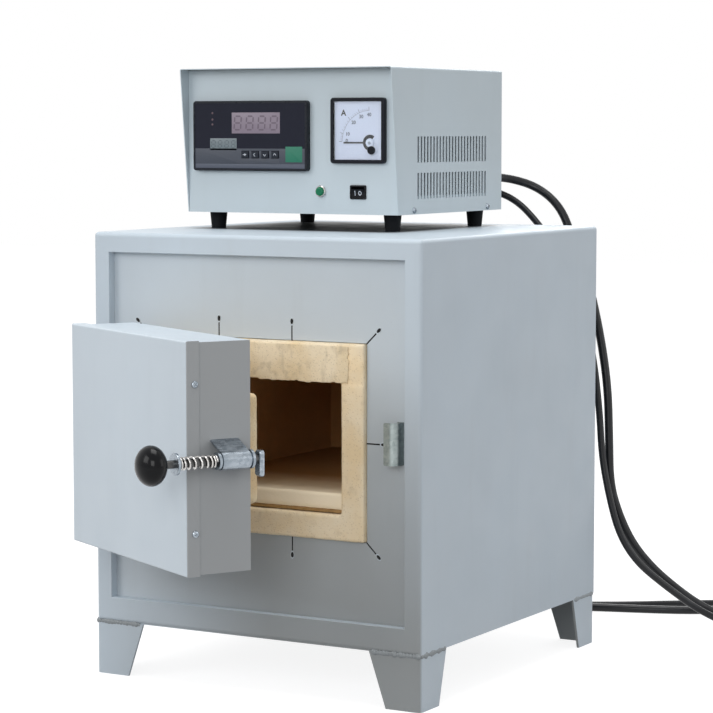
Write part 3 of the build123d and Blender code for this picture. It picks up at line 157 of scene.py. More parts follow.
# ------------------------------------------------------------------ materials
# In the recipes below, grain() and cells() take features per metre, and stretch() the range of
# the noise that is used and what it is turned into.
class ShaderSheet(NodeWork):
    """A node material being put together on one glossy surface shader."""

    def __init__(self, name: str) -> None:
        """Start a material.

        Args:
            name: Name of the material.
        """
        self.material = bpy.data.materials.new(name)
        self.material.use_nodes = True
        super().__init__(self.material.node_tree)
        self.tree.nodes.clear()
        self.surface = self.tree.nodes.new("ShaderNodeBsdfPrincipled")
        self.exit = self.tree.nodes.new("ShaderNodeOutputMaterial")
        self.tree.links.new(self.surface.outputs["BSDF"], self.exit.inputs["Surface"])
        source = self.tree.nodes.new("ShaderNodeTexCoord")
        self.place, self.normal = source.outputs["Object"], source.outputs["Normal"]
        self.heights: list[tuple[Any, float]] = []

    def grain(self, scale: float, detail: float = 3.0, stretch: Triple | None = None) -> Any:
        """Noise on Object coordinates.

        Args:
            scale: Features per metre, roughly.
            detail: Octaves.
            stretch: Scale along each axis for streaks.

        Returns:
            The noise's value socket.
        """
        place = self.place
        if stretch:
            place = self.node("ShaderNodeMapping", {"Vector": place, "Scale": stretch}).outputs["Vector"]
        made = self.node("ShaderNodeTexNoise", {"Vector": place, "Scale": scale, "Detail": detail})
        return made.outputs["Fac"]

    def cells(self, scale: float, smooth: bool = False) -> Any:
        """Cell pattern: a grey per cell, or the distance to each cell's middle.

        Args:
            scale: Cells per metre.
            smooth: Give the distance in place of the grey.

        Returns:
            A socket.
        """
        made = self.node("ShaderNodeTexVoronoi", {"Vector": self.place, "Scale": scale})
        return made.outputs["Distance" if smooth else "Color"]

    def along(self, axis: str) -> Any:
        """One of the Object coordinates.

        Args:
            axis: "X", "Y" or "Z".

        Returns:
            A socket with that coordinate in metres.
        """
        return self.node("ShaderNodeSeparateXYZ", {0: self.place}).outputs[axis]

    def facing(self, axis: str) -> Any:
        """How far the surface looks along an axis, -1 to 1.

        Args:
            axis: "X", "Y" or "Z".

        Returns:
            A socket.
        """
        return self.node("ShaderNodeSeparateXYZ", {0: self.normal}).outputs[axis]

    def stretch(self, value: Any, low: float, high: float, to_low: float = 0.0,
                to_high: float = 1.0) -> Any:
        """Map a range of a value on to another, and clamp it.

        Args:
            value: Socket to map.
            low: Value that gives to_low.
            high: Value that gives to_high.
            to_low: Result at low.
            to_high: Result at high.

        Returns:
            A socket.
        """
        sizes = {0: value, 1: low, 2: high, 3: to_low, 4: to_high}
        return self.node("ShaderNodeMapRange", sizes).outputs[0]

    def blend(self, factor: Any, first: Any, second: Any) -> Any:
        """Mix two colours.

        Args:
            factor: How much of the second.
            first: Colour or socket.
            second: Colour or socket.

        Returns:
            A colour socket.
        """
        return self.node("ShaderNodeMix", {0: factor, 6: first, 7: second}, data_type="RGBA").outputs[2]

    def product(self, first: Any, second: Any) -> Any:
        """Multiply two values."""
        return self.node("ShaderNodeMath", {0: first, 1: second}, operation="MULTIPLY").outputs[0]

    def raise_by(self, value: Any, height: float) -> None:
        """Remember a relief to be cut into the surface.

        Args:
            value: Socket, 0 to 1.
            height: Height of 1, in metres.
        """
        self.heights.append((value, height))

    def done(self, **inputs: Any) -> bpy.types.Material:
        """Fill the surface shader and finish the material.

        Args:
            **inputs: Surface inputs, with underscores for spaces.

        Returns:
            The material.
        """
        for key, value in inputs.items():
            self.feed(self.surface.inputs[key.replace("_", " ")], value)
        normal = None
        for value, height in self.heights:
            bump = self.node("ShaderNodeBump", {"Height": value, "Strength": 1.0, "Distance": height})
            if normal:
                self.feed(bump.inputs["Normal"], normal)
            normal = bump.outputs["Normal"]
        if normal:
            self.feed(self.surface.inputs["Normal"], normal)
        return self.material


@dataclass(frozen=True)
class SheetPaint:
    """Baked paint on sheet metal, with orange peel, faint dirt and rubbed spots."""

    name: str
    colour: Triple
    soil: Triple
    roughness: float = 0.42
    peel_mm: float = 0.012
    soil_share: float = 0.16

    def tint(self, sheet: ShaderSheet, colour: Any) -> Any:
        """Colour changes of this paint's own; plain sheet has none."""
        return colour

    def make(self) -> bpy.types.Material:
        """Build the material."""
        sheet = ShaderSheet(self.name)
        clouds = sheet.stretch(sheet.grain(7.0, 4.0), 0.35, 0.7, 0.0, self.soil_share)
        colour = sheet.blend(clouds, self.colour, self.soil)
        runs = sheet.stretch(sheet.grain(1.0, 5.0, (38.0, 38.0, 5.0)), 0.55, 0.8, 0.0, 0.10)
        colour = sheet.blend(runs, colour, self.soil)
        specks = sheet.stretch(sheet.grain(420.0, 2.0), 0.70, 0.78, 0.0, 0.22)
        colour = self.tint(sheet, sheet.blend(specks, colour, self.soil))
        rub = sheet.stretch(sheet.grain(24.0, 5.0), 0.3, 0.7, self.roughness - 0.07, self.roughness + 0.09)
        sheet.raise_by(sheet.grain(620.0, 2.0), self.peel_mm * MM)
        sheet.raise_by(sheet.grain(11.0, 1.0), 0.35 * MM)
        return sheet.done(Base_Color=colour, Roughness=rub, Specular_IOR_Level=0.32, Coat_Weight=0.04,
                          Coat_Roughness=0.30)


@dataclass(frozen=True)
class ShellPaint(SheetPaint):
    """Paint of the furnace body, with painted shade low on the front and under the controller."""

    dust_and_shade: Triple = tone(118, 115, 108)
    under_controller_shade: Triple = tone(62, 66, 72)
    under_x: Pair = (-0.186, 0.102)
    under_y: Pair = (-0.085, 0.200)

    def tint(self, sheet: ShaderSheet, colour: Any) -> Any:
        """Lay the painted shade of the lower front and of the top under the controller over the colour."""
        # Painted shade: the front faces darken and warm towards the bottom, more so to the right.
        front = sheet.stretch(sheet.facing("Y"), -0.3, -0.8)
        low = sheet.stretch(sheet.along("Z"), 0.42, 0.06, 0.0, 0.68)
        across = sheet.stretch(sheet.along("X"), -0.22, 0.02, 0.06, 1.0)
        colour = sheet.blend(sheet.product(sheet.product(front, low), across), colour, self.dust_and_shade)
        # Painted shade on the top of the body, inside the controller's footprint.
        patch = sheet.stretch(sheet.facing("Z"), 0.8, 0.95)
        for axis, (start, stop) in (("X", self.under_x), ("Y", self.under_y)):
            place = sheet.along(axis)
            patch = sheet.product(patch, sheet.stretch(place, start - 0.012, start + 0.012))
            patch = sheet.product(patch, sheet.stretch(place, stop + 0.012, stop - 0.012))
        return sheet.blend(patch, colour, self.under_controller_shade)


@dataclass(frozen=True)
class DoorPaint(SheetPaint):
    """Paint of the door, with painted shade greying the free end that shuts against the keeper."""

    end: Triple = tone(161, 164, 166)
    end_way: Triple = (0.8686, -0.4955, 0.0)

    def tint(self, sheet: ShaderSheet, colour: Any) -> Any:
        """Paint shade on the free end."""
        # Painted shade: faces that look along the free end's direction are greyed.
        way = sheet.node("ShaderNodeVectorMath", {0: sheet.normal, 1: self.end_way},
                         operation="DOT_PRODUCT")
        return sheet.blend(sheet.stretch(way.outputs["Value"], 0.5, 0.85), colour, self.end)


@dataclass(frozen=True)
class HoodPaint(SheetPaint):
    """Paint of the controller, with painted shade where the hood looks down."""

    underside_shade: Triple = tone(70, 76, 66)

    def tint(self, sheet: ShaderSheet, colour: Any) -> Any:
        """Paint shade on the faces that look down."""
        # Painted shade on downward faces, such as under the hood and tray.
        return sheet.blend(sheet.stretch(sheet.facing("Z"), -0.6, -0.9), colour, self.underside_shade)


@dataclass(frozen=True)
class FiredClay:
    """Fired ceramic: sandy, mottled and pitted."""

    name: str
    pale: Triple
    tan: Triple
    scorch: Triple
    scorch_share: float = 0.5
    pit_mm: float = 0.35
    streaks: float = 0.0

    def make(self) -> bpy.types.Material:
        """Build the material."""
        sheet = ShaderSheet(self.name)
        broad = sheet.stretch(sheet.grain(26.0, 5.0), 0.36, 0.66)
        colour = sheet.blend(broad, self.pale, self.tan)
        run = sheet.stretch(sheet.grain(1.0, 5.0, (90.0, 90.0, 40.0)), 0.52, 0.72, 0.0, self.streaks)
        colour = sheet.blend(run, colour, self.scorch)
        patch = sheet.stretch(sheet.grain(75.0, 4.0), 0.58, 0.74, 0.0, self.scorch_share)
        colour = sheet.blend(patch, colour, self.scorch)
        sand = sheet.stretch(sheet.grain(900.0, 3.0), 0.3, 0.7, 0.0, 0.30)
        colour = sheet.blend(sand, colour, self.tan)
        pits = sheet.stretch(sheet.cells(330.0, True), 0.08, 0.32)
        colour = sheet.blend(sheet.product(sheet.stretch(pits, 1.0, 0.0), 0.35), colour, self.scorch)
        sheet.raise_by(sheet.grain(520.0, 4.0), self.pit_mm * MM)
        sheet.raise_by(pits, self.pit_mm * 0.5 * MM)
        return sheet.done(Base_Color=colour, Roughness=0.93, Specular_IOR_Level=0.22)


@dataclass(frozen=True)
class ChamberClay:
    """Ceramic inside the chamber, with painted shade browning it the deeper it lies."""

    name: str
    near: Triple
    deep_shade: Triple
    near_y: float
    deep_y: float

    def make(self) -> bpy.types.Material:
        """Build the material."""
        sheet = ShaderSheet(self.name)
        # Painted shade: the colour darkens from the near tone to the deep one going into the chamber.
        depth = sheet.stretch(sheet.along("Y"), self.near_y, self.deep_y)
        colour = sheet.blend(depth, self.near, self.deep_shade)
        # Smoke blotches, partly real smoke and partly painted shade, grow with the depth.
        smoke_and_shade = sheet.product(sheet.stretch(sheet.grain(30.0, 5.0), 0.4, 0.7, 0.0, 0.55), depth)
        colour = sheet.blend(smoke_and_shade, colour, self.deep_shade)
        sheet.raise_by(sheet.grain(300.0, 4.0), 0.4 * MM)
        return sheet.done(Base_Color=colour, Roughness=0.95, Specular_IOR_Level=0.15)


@dataclass(frozen=True)
class PlatedSteel:
    """Zinc or chrome plate, with tone changes between crystals and fine rubbing."""

    name: str
    bright: Triple
    dull: Triple
    roughness: float = 0.30
    crystal: float = 260.0
    brush: Triple = (60.0, 60.0, 900.0)

    def make(self) -> bpy.types.Material:
        """Build the material."""
        sheet = ShaderSheet(self.name)
        crystals = sheet.stretch(sheet.cells(self.crystal), 0.1, 0.9, 0.0, 0.55)
        tint = sheet.blend(crystals, self.bright, self.dull)
        stain = sheet.stretch(sheet.grain(70.0, 5.0), 0.45, 0.75, 0.0, 0.5)
        tint = sheet.blend(stain, tint, self.dull)
        rub = sheet.stretch(sheet.grain(1.0, 3.0, self.brush), 0.3, 0.7, self.roughness - 0.08,
                            self.roughness + 0.14)
        sheet.raise_by(sheet.grain(700.0, 2.0), 0.010 * MM)
        return sheet.done(Base_Color=tint, Metallic=1.0, Roughness=rub)


@dataclass(frozen=True)
class MouldedPlastic:
    """Moulded plastic or rubber with a fine grain."""

    name: str
    colour: Triple
    worn: Triple
    roughness: float = 0.35
    grain_mm: float = 0.010
    shine: float = 0.18

    def make(self) -> bpy.types.Material:
        """Build the material."""
        sheet = ShaderSheet(self.name)
        dust_and_shade = sheet.stretch(sheet.grain(90.0, 5.0), 0.5, 0.8, 0.0, 0.30)
        colour = sheet.blend(dust_and_shade, self.colour, self.worn)
        rub = sheet.stretch(sheet.grain(160.0, 4.0), 0.3, 0.7, max(0.04, self.roughness - 0.06),
                            self.roughness + 0.08)
        sheet.raise_by(sheet.grain(1500.0, 2.0), self.grain_mm * MM)
        return sheet.done(Base_Color=colour, Roughness=rub, Specular_IOR_Level=self.shine)


@dataclass(frozen=True)
class PrintedInk:
    """Screen-printed ink or a small moulded mark."""

    name: str
    colour: Triple
    faint: Triple
    roughness: float = 0.45

    def make(self) -> bpy.types.Material:
        """Build the material."""
        sheet = ShaderSheet(self.name)
        thin = sheet.stretch(sheet.grain(800.0, 3.0), 0.4, 0.75, 0.0, 0.4)
        colour = sheet.blend(thin, self.colour, self.faint)
        sheet.raise_by(sheet.grain(2200.0, 1.0), 0.004 * MM)
        return sheet.done(Base_Color=colour, Roughness=self.roughness)


@dataclass(frozen=True)
class ClearCover:
    """Clear moulded cover or lens."""

    name: str
    colour: Triple
    roughness: float = 0.02
    glow: float = 0.0
    clear: float = 1.0

    def make(self) -> bpy.types.Material:
        """Build the material."""
        sheet = ShaderSheet(self.name)
        smears = sheet.stretch(sheet.grain(60.0, 4.0), 0.4, 0.8, self.roughness, self.roughness + 0.05)
        return sheet.done(Base_Color=self.colour, Roughness=smears, Transmission_Weight=self.clear,
                          IOR=1.49, Specular_IOR_Level=0.2, Emission_Color=self.colour,
                          Emission_Strength=self.glow)


@dataclass(frozen=True)
class WoolBoard:
    """Loose ceramic fibre board."""

    name: str
    pale: Triple
    shade: Triple

    def make(self) -> bpy.types.Material:
        """Build the material."""
        sheet = ShaderSheet(self.name)
        fibres = sheet.grain(1.0, 6.0, (700.0, 260.0, 900.0))
        colour = sheet.blend(sheet.stretch(fibres, 0.35, 0.7), self.pale, self.shade)
        sheet.raise_by(fibres, 0.6 * MM)
        return sheet.done(Base_Color=colour, Roughness=0.97, Specular_IOR_Level=0.1, Sheen_Weight=0.3)


class Finish(Enum):
    """Every finish on the furnace, by where it is used."""

    BODY = ShellPaint("body_paint", tone(196, 208, 218), tone(168, 174, 178))
    PANEL = ShellPaint("front_panel_paint", tone(197, 207, 215), tone(170, 175, 178))
    DOOR = DoorPaint("door_paint", tone(205, 216, 225), tone(182, 191, 198))
    CABINET = HoodPaint("cabinet_paint", tone(194, 206, 213), tone(174, 183, 186), 0.40)
    MOUTH = FiredClay("mouth_clay", tone(246, 232, 206), tone(240, 218, 180), tone(176, 150, 116), 0.30)
    HEARTH = ChamberClay("hearth_clay", tone(254, 240, 214), tone(176, 134, 88), -0.208, -0.09)
    TROWEL = FiredClay("trowelled_clay", tone(240, 226, 200), tone(228, 208, 172), tone(150, 134, 110),
                       0.42, 0.45, 0.38)
    # Brown of the joint under the hearth, partly its own colour and partly painted shade of the groove.
    GROUT = FiredClay("hearth_grout", tone(176, 144, 100), tone(150, 118, 78), tone(110, 84, 54), 0.35)
    PLUG = FiredClay("door_lining_clay", tone(240, 224, 192), tone(232, 206, 164), tone(160, 128, 92),
                     0.20)
    CHAMBER = ChamberClay("chamber_clay", tone(236, 202, 152), tone(204, 156, 104), -0.185, 0.04)
    WIRE = PlatedSteel("element_wire", tone(120, 100, 88), tone(66, 52, 46), 0.55)
    ZINC = PlatedSteel("zinc_plate", tone(172, 180, 188), tone(104, 116, 126), 0.25)
    KEEPER = PlatedSteel("keeper_zinc", tone(162, 171, 170), tone(112, 122, 121), 0.36)
    STEEL = PlatedSteel("spring_steel", tone(220, 218, 216), tone(150, 146, 142), 0.20, 500.0)
    # Dark steel of the rod, darkened partly as painted shade between the spring's coils.
    ROD = PlatedSteel("rod_steel", tone(92, 92, 92), tone(58, 58, 58), 0.35)
    WELD = SheetPaint("painted_weld", tone(158, 165, 170), tone(104, 104, 100), 0.5, 0.05, 0.5)
    # Painted shadow filling the relief cuts and their eyes.
    SHADE = PrintedInk("cut_shadow", tone(12, 12, 13), tone(30, 30, 31), 0.9)
    KNOB = MouldedPlastic("knob_phenolic", tone(5, 6, 9), tone(12, 14, 18), 0.16, 0.002, 0.17)
    BEZEL = MouldedPlastic("bezel_plastic", tone(24, 28, 36), tone(40, 45, 54), 0.30)
    WINDOW = MouldedPlastic("smoked_window", tone(34, 36, 48), tone(40, 43, 54), 0.10, 0.001, 0.12)
    KEYS = MouldedPlastic("key_membrane", tone(32, 37, 47), tone(42, 48, 58), 0.40)
    METER = MouldedPlastic("meter_case_plastic", tone(15, 18, 27), tone(34, 40, 50), 0.18, 0.003)
    SWITCH = MouldedPlastic("switch_plastic", tone(9, 11, 17), tone(30, 33, 40), 0.28)
    RUBBER = MouldedPlastic("foot_rubber", tone(26, 28, 32), tone(50, 52, 55), 0.62, 0.05, 0.10)
    GLAND = MouldedPlastic("gland_nylon", tone(22, 24, 27), tone(46, 49, 52), 0.45)
    SHEATH = MouldedPlastic("cord_sheath", tone(14, 16, 20), tone(38, 44, 54), 0.34, 0.03, 0.34)
    DIAL = PrintedInk("dial_card", tone(224, 232, 248), tone(212, 220, 240), 0.6)
    INK = PrintedInk("dial_ink", tone(18, 20, 28), tone(44, 47, 56))
    FAINT = PrintedInk("faint_dial_ink", tone(92, 100, 118), tone(130, 138, 154))
    SLATE = PrintedInk("slate_zone", tone(46, 53, 66), tone(54, 62, 75), 0.5)
    BAND = PrintedInk("lower_band", tone(66, 73, 88), tone(78, 86, 102), 0.5)
    PATCH = PrintedInk("green_patch", tone(2, 104, 80), tone(8, 116, 90), 0.5)
    READOUT = PrintedInk("main_readout", tone(128, 116, 130), tone(118, 107, 122), 0.4)
    SETPOINT = PrintedInk("set_readout", tone(104, 116, 122), tone(94, 107, 114), 0.4)
    SEGMENT = PrintedInk("dark_segments", tone(98, 86, 100), tone(90, 80, 93), 0.45)
    SMALL_SEGMENT = PrintedInk("dark_small_segments", tone(80, 92, 98), tone(74, 86, 92), 0.45)
    DIODE = PrintedInk("unlit_diode", tone(78, 56, 66), tone(66, 50, 58), 0.4)
    MARK = PrintedInk("white_mark", tone(196, 202, 212), tone(170, 178, 190), 0.5)
    COVER = ClearCover("meter_glass", tone(250, 252, 255), 0.015)
    LENS = ClearCover("lamp_green", tone(4, 128, 88), 0.14, 0.02, 0.30)
    WOOL = WoolBoard("fibre_board", tone(232, 230, 222), tone(200, 196, 184))

    def material(self) -> bpy.types.Material:
        """The material, built once."""
        if self.name not in BUILT:
            BUILT[self.name] = self.value.make()
        return BUILT[self.name]


# --------------------------------------------------------------- mesh helpers
def placed(name: str, data: Any) -> bpy.types.Object:
    """Link a new object into the scene.

    Args:
        name: Name of the object.
        data: Its mesh, curve, camera or light.

    Returns:
        The object.
    """
    item = bpy.data.objects.new(name, data)
    bpy.context.scene.collection.objects.link(item)
    return item


def new_piece(name: str, mesh: bpy.types.Mesh, body: str, finish: Finish | None = None,
              crease: float = 0.6) -> bpy.types.Object:
    """Show a mesh as a piece of the furnace that moves with a body.

    Args:
        name: Name of the piece.
        mesh: Its mesh, in place.
        body: Body it moves with.
        finish: Its finish, or None where the mesh has one.
        crease: Angle past which edges stay sharp, in radians.

    Returns:
        The object.
    """
    if finish:
        mesh.materials.clear()
        mesh.materials.append(finish.material())
    mesh.shade_smooth()
    mesh.set_sharp_from_angle(angle=crease)
    piece = placed(name, mesh)
    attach(piece, body)
    LOG.info("%s: %d faces on %s", name, len(mesh.polygons), body)
    return piece


def evaluated_mesh(source: bpy.types.Object) -> bpy.types.Mesh:
    """Bake an object's modifiers and take it out of the scene.

    Args:
        source: Object with modifiers.

    Returns:
        A plain mesh.
    """
    ready = source.evaluated_get(bpy.context.evaluated_depsgraph_get())
    mesh = bpy.data.meshes.new_from_object(ready)
    bpy.data.objects.remove(source)
    return mesh


def bmesh_to_mesh(name: str, shape: bmesh.types.BMesh, turn: Matrix | None = None) -> bpy.types.Mesh:
    """Close a bmesh into a mesh with outward faces.

    Args:
        name: Name of the mesh.
        shape: The bmesh, which is freed.
        turn: Placement put into the mesh.

    Returns:
        The mesh.
    """
    bmesh.ops.remove_doubles(shape, verts=shape.verts, dist=1e-6)
    if turn:
        bmesh.ops.transform(shape, matrix=turn, verts=shape.verts)
    bmesh.ops.recalc_face_normals(shape, faces=shape.faces)
    mesh = bpy.data.meshes.new(name)
    shape.to_mesh(mesh)
    shape.free()
    return mesh


def rounded_outline(x_span: Pair, z_span: Pair, corner: float, steps: int = 6) -> list[Pair]:
    """Corner points of a rounded rectangle, anticlockwise.

    Args:
        x_span: Left and right.
        z_span: Low and high.
        corner: Corner radius.
        steps: Runs in each corner.

    Returns:
        Points in X and Z.
    """
    left, right = x_span[0] + corner, x_span[1] - corner
    low, high = z_span[0] + corner, z_span[1] - corner
    centres = ((right, high, 0), (left, high, 90), (left, low, 180), (right, low, 270))
    points = []
    for x, z, start in centres:
        for step in range(steps + 1):
            angle = math.radians(start + 90 * step / steps)
            points.append((x + corner * math.cos(angle), z + corner * math.sin(angle)))
    return points


def slab(name: str, outline: Sequence[Pair], front: float, back: float,
         edge: float = 0.0) -> bpy.types.Mesh:
    """A flat plate that stands upright and faces the operator.

    Args:
        name: Name of the mesh.
        outline: Points in X and Z.
        front: Y of its front.
        back: Y of its back.
        edge: Width of the rounded front edge.

    Returns:
        The mesh.
    """
    shape = bmesh.new()
    face = shape.faces.new([shape.verts.new((x, front, z)) for x, z in outline])
    grown = bmesh.ops.extrude_face_region(shape, geom=[face])
    moved = [item for item in grown["geom"] if isinstance(item, bmesh.types.BMVert)]
    bmesh.ops.translate(shape, vec=(0, back - front, 0), verts=moved)
    if edge:
        rim = [line for line in shape.edges if all(abs(v.co.y - front) < 1e-7 for v in line.verts)]
        bmesh.ops.bevel(shape, geom=rim, offset=edge, segments=2, affect="EDGES", profile=0.5)
    return bmesh_to_mesh(name, shape)


def lathe(name: str, profile: Sequence[Pair], turns: int = 40) -> bpy.types.Mesh:
    """A turned shape about Z.

    Args:
        name: Name of the mesh.
        profile: Radius and height of each point, from the low pole to the high one.
        turns: Sides.

    Returns:
        The mesh.
    """
    shape = bmesh.new()
    line = [shape.verts.new((radius, 0, height)) for radius, height in profile]
    edges = [shape.edges.new(pair) for pair in zip(line, line[1:])]
    bmesh.ops.spin(shape, geom=line + edges, cent=(0, 0, 0), axis=(0, 0, 1), angle=math.tau, steps=turns)
    return bmesh_to_mesh(name, shape)


def node_mesh(frame: dict[str, Any], node: str, turn: Matrix | None = None) -> bpy.types.Mesh:
    """A merged copy of a node's mesh.

    Args:
        frame: The loaded frame.
        node: Node to copy.
        turn: Placement put into the copy.

    Returns:
        The mesh.
    """
    source = frame["nodes"][node]
    shape = bmesh.new()
    shape.from_mesh(source.data)
    bmesh.ops.transform(shape, matrix=source.matrix_world, verts=shape.verts)
    return bmesh_to_mesh(node + "_copy", shape, turn)


def remeshed(mesh: bpy.types.Mesh, voxel: float) -> bpy.types.Mesh:
    """Rebuild a closed mesh from even small faces.

    Args:
        mesh: A closed mesh.
        voxel: Size of the faces.

    Returns:
        The new mesh.
    """
    holder = placed("remesh_holder", mesh)
    step = holder.modifiers.new("even_faces", "REMESH")
    step.mode = "VOXEL"
    step.voxel_size = voxel
    return evaluated_mesh(holder)


def weather(mesh: bpy.types.Mesh, depth: Callable[[Vector, Vector], float]) -> None:
    """Sink each point of a mesh along its normal.

    Args:
        mesh: Mesh to change.
        depth: Gives the depth from a point and its normal.
    """
    shape = bmesh.new()
    shape.from_mesh(mesh)
    shape.normal_update()
    moves = [(point, -depth(point.co, point.normal) * point.normal) for point in shape.verts]
    for point, step in moves:
        point.co += step
    shape.to_mesh(mesh)
    shape.free()


def unit_share(value: float) -> float:
    """Keep a value between 0 and 1."""
    return max(0.0, min(1.0, value))


def cloud(place: Vector, *recipe: float) -> float:
    """Cloudy noise, mostly between 0 and 1.

    Args:
        place: Point, already scaled.
        *recipe: Fractal dimension, step between octaves, and number of octaves.

    Returns:
        The value.
    """
    return 0.5 + 0.5 * noise.fractal(place, *recipe)


def clay_wear(broad: float, fine: float) -> Callable[[Vector, Vector], float]:
    """Wear of a smooth clay face: shallow hollows and a sandy grain.

    Args:
        broad: Hollows per metre.
        fine: Grains per metre.

    Returns:
        A depth for weather().
    """
    def depth(place: Vector, normal: Vector) -> float:
        """How far the clay is sunk at a point."""
        worn = cloud(place * broad, 1.0, 2.0, 4)
        return 0.0003 * (0.5 + 0.5 * noise.noise(place * fine)) + 0.0006 * unit_share(worn)
    return depth


def words(text: str, size: float) -> bpy.types.Mesh:
    """Flat printed figures as a mesh in X and Y, centred on the origin.

    Args:
        text: The figures.
        size: Height of the type.

    Returns:
        The mesh.
    """
    curve = bpy.data.curves.new("figures", "FONT")
    curve.body = text
    curve.size = size
    curve.align_x = "CENTER"
    curve.align_y = "CENTER"
    curve.extrude = 0.00006
    curve.offset = size * 0.035
    curve.resolution_u = 3
    return evaluated_mesh(placed("figures", curve))


def joined(name: str, meshes: Iterable[tuple[bpy.types.Mesh, Matrix]]) -> bpy.types.Mesh:
    """Put meshes together, each at its place.

    Args:
        name: Name of the result.
        meshes: Mesh and placement pairs.

    Returns:
        One mesh.
    """
    shape = bmesh.new()
    for mesh, place in meshes:
        copy = mesh.copy()
        copy.transform(place)
        shape.from_mesh(copy)
    result = bpy.data.meshes.new(name)
    shape.to_mesh(result)
    shape.free()
    return result


# ------------------------------------------------------------- geometry trees
class PieceTree(NodeWork):
    """A geometry node tree being put together, with its sizes as named inputs."""

    def __init__(self, name: str) -> None:
        """Start a tree.

        Args:
            name: Name of the tree.
        """
        super().__init__(bpy.data.node_groups.new(name, "GeometryNodeTree"))
        self.tree.interface.new_socket("Base", in_out="INPUT", socket_type="NodeSocketGeometry")
        self.tree.interface.new_socket("Piece", in_out="OUTPUT", socket_type="NodeSocketGeometry")
        self.entry = self.tree.nodes.new("NodeGroupInput")
        self.exit = self.tree.nodes.new("NodeGroupOutput")

    def size(self, name: str, kind: str = "Float") -> Any:
        """Add a named input.

        Args:
            name: Name of the input.
            kind: Socket kind, such as Float, Int, Object or Material.

        Returns:
            The socket that carries it.
        """
        self.tree.interface.new_socket(name, in_out="INPUT", socket_type="NodeSocket" + kind)
        return self.entry.outputs[name]

    def math(self, operation: str, first: Any, second: Any = 0.0) -> Any:
        """One step of arithmetic.

        Args:
            operation: Name of the step.
            first: Value or socket.
            second: Value or socket.

        Returns:
            The result's socket.
        """
        return self.node("ShaderNodeMath", {0: first, 1: second}, operation=operation).outputs[0]

    def vector(self, operation: str, first: Any, second: Any) -> Any:
        """One step of vector arithmetic, of two vectors or a vector and a scale.

        Args:
            operation: Name of the step.
            first: Vector socket.
            second: Vector socket, or the scale.

        Returns:
            The result's socket.
        """
        slot = 3 if operation == "SCALE" else 1
        return self.node("ShaderNodeVectorMath", {0: first, slot: second}, operation=operation).outputs[0]

    def close(self, shape: Any) -> None:
        """End the tree: make copies real and give them their material.

        Args:
            shape: Geometry socket.
        """
        real = self.node("GeometryNodeRealizeInstances", {"Geometry": shape}).outputs[0]
        finish = self.size("Finish", "Material")
        coloured = self.node("GeometryNodeSetMaterial", {"Geometry": real, "Material": finish})
        self.tree.links.new(coloured.outputs[0], self.exit.inputs[0])

    def run(self, base: bpy.types.Mesh, finish: Finish, sizes: dict[str, Any]) -> bpy.types.Mesh:
        """Run the tree on a base mesh.

        Args:
            base: Points or lines to work on.
            finish: Finish of the result.
            sizes: Value of each named input.

        Returns:
            A plain mesh.
        """
        holder = placed(self.tree.name + "_holder", base)
        step = holder.modifiers.new(self.tree.name, "NODES")
        step.node_group = self.tree
        for item in self.tree.interface.items_tree:
            if item.name in sizes:
                step[item.identifier] = sizes[item.name]
            elif item.name == "Finish":
                step[item.identifier] = finish.material()
        return evaluated_mesh(holder)


@dataclass(frozen=True)
class Seat:
    """Where one copy of a repeated shape stands."""

    at: Vector
    turn: Euler
    size: Triple = (1.0, 1.0, 1.0)


def facing(at: Sequence[float], direction: Sequence[float], spin: float = 0.0,
           size: Triple = (1.0, 1.0, 1.0)) -> Seat:
    """A seat whose Z looks along a direction.

    Args:
        at: Point.
        direction: Where Z looks.
        spin: Turn about Z, in radians.
        size: Scale of the copy.

    Returns:
        The seat.
    """
    aim = Vector(direction).to_track_quat("Z", "Y").to_matrix() @ Matrix.Rotation(spin, 3, "Z")
    return Seat(Vector(at), aim.to_euler(), size)


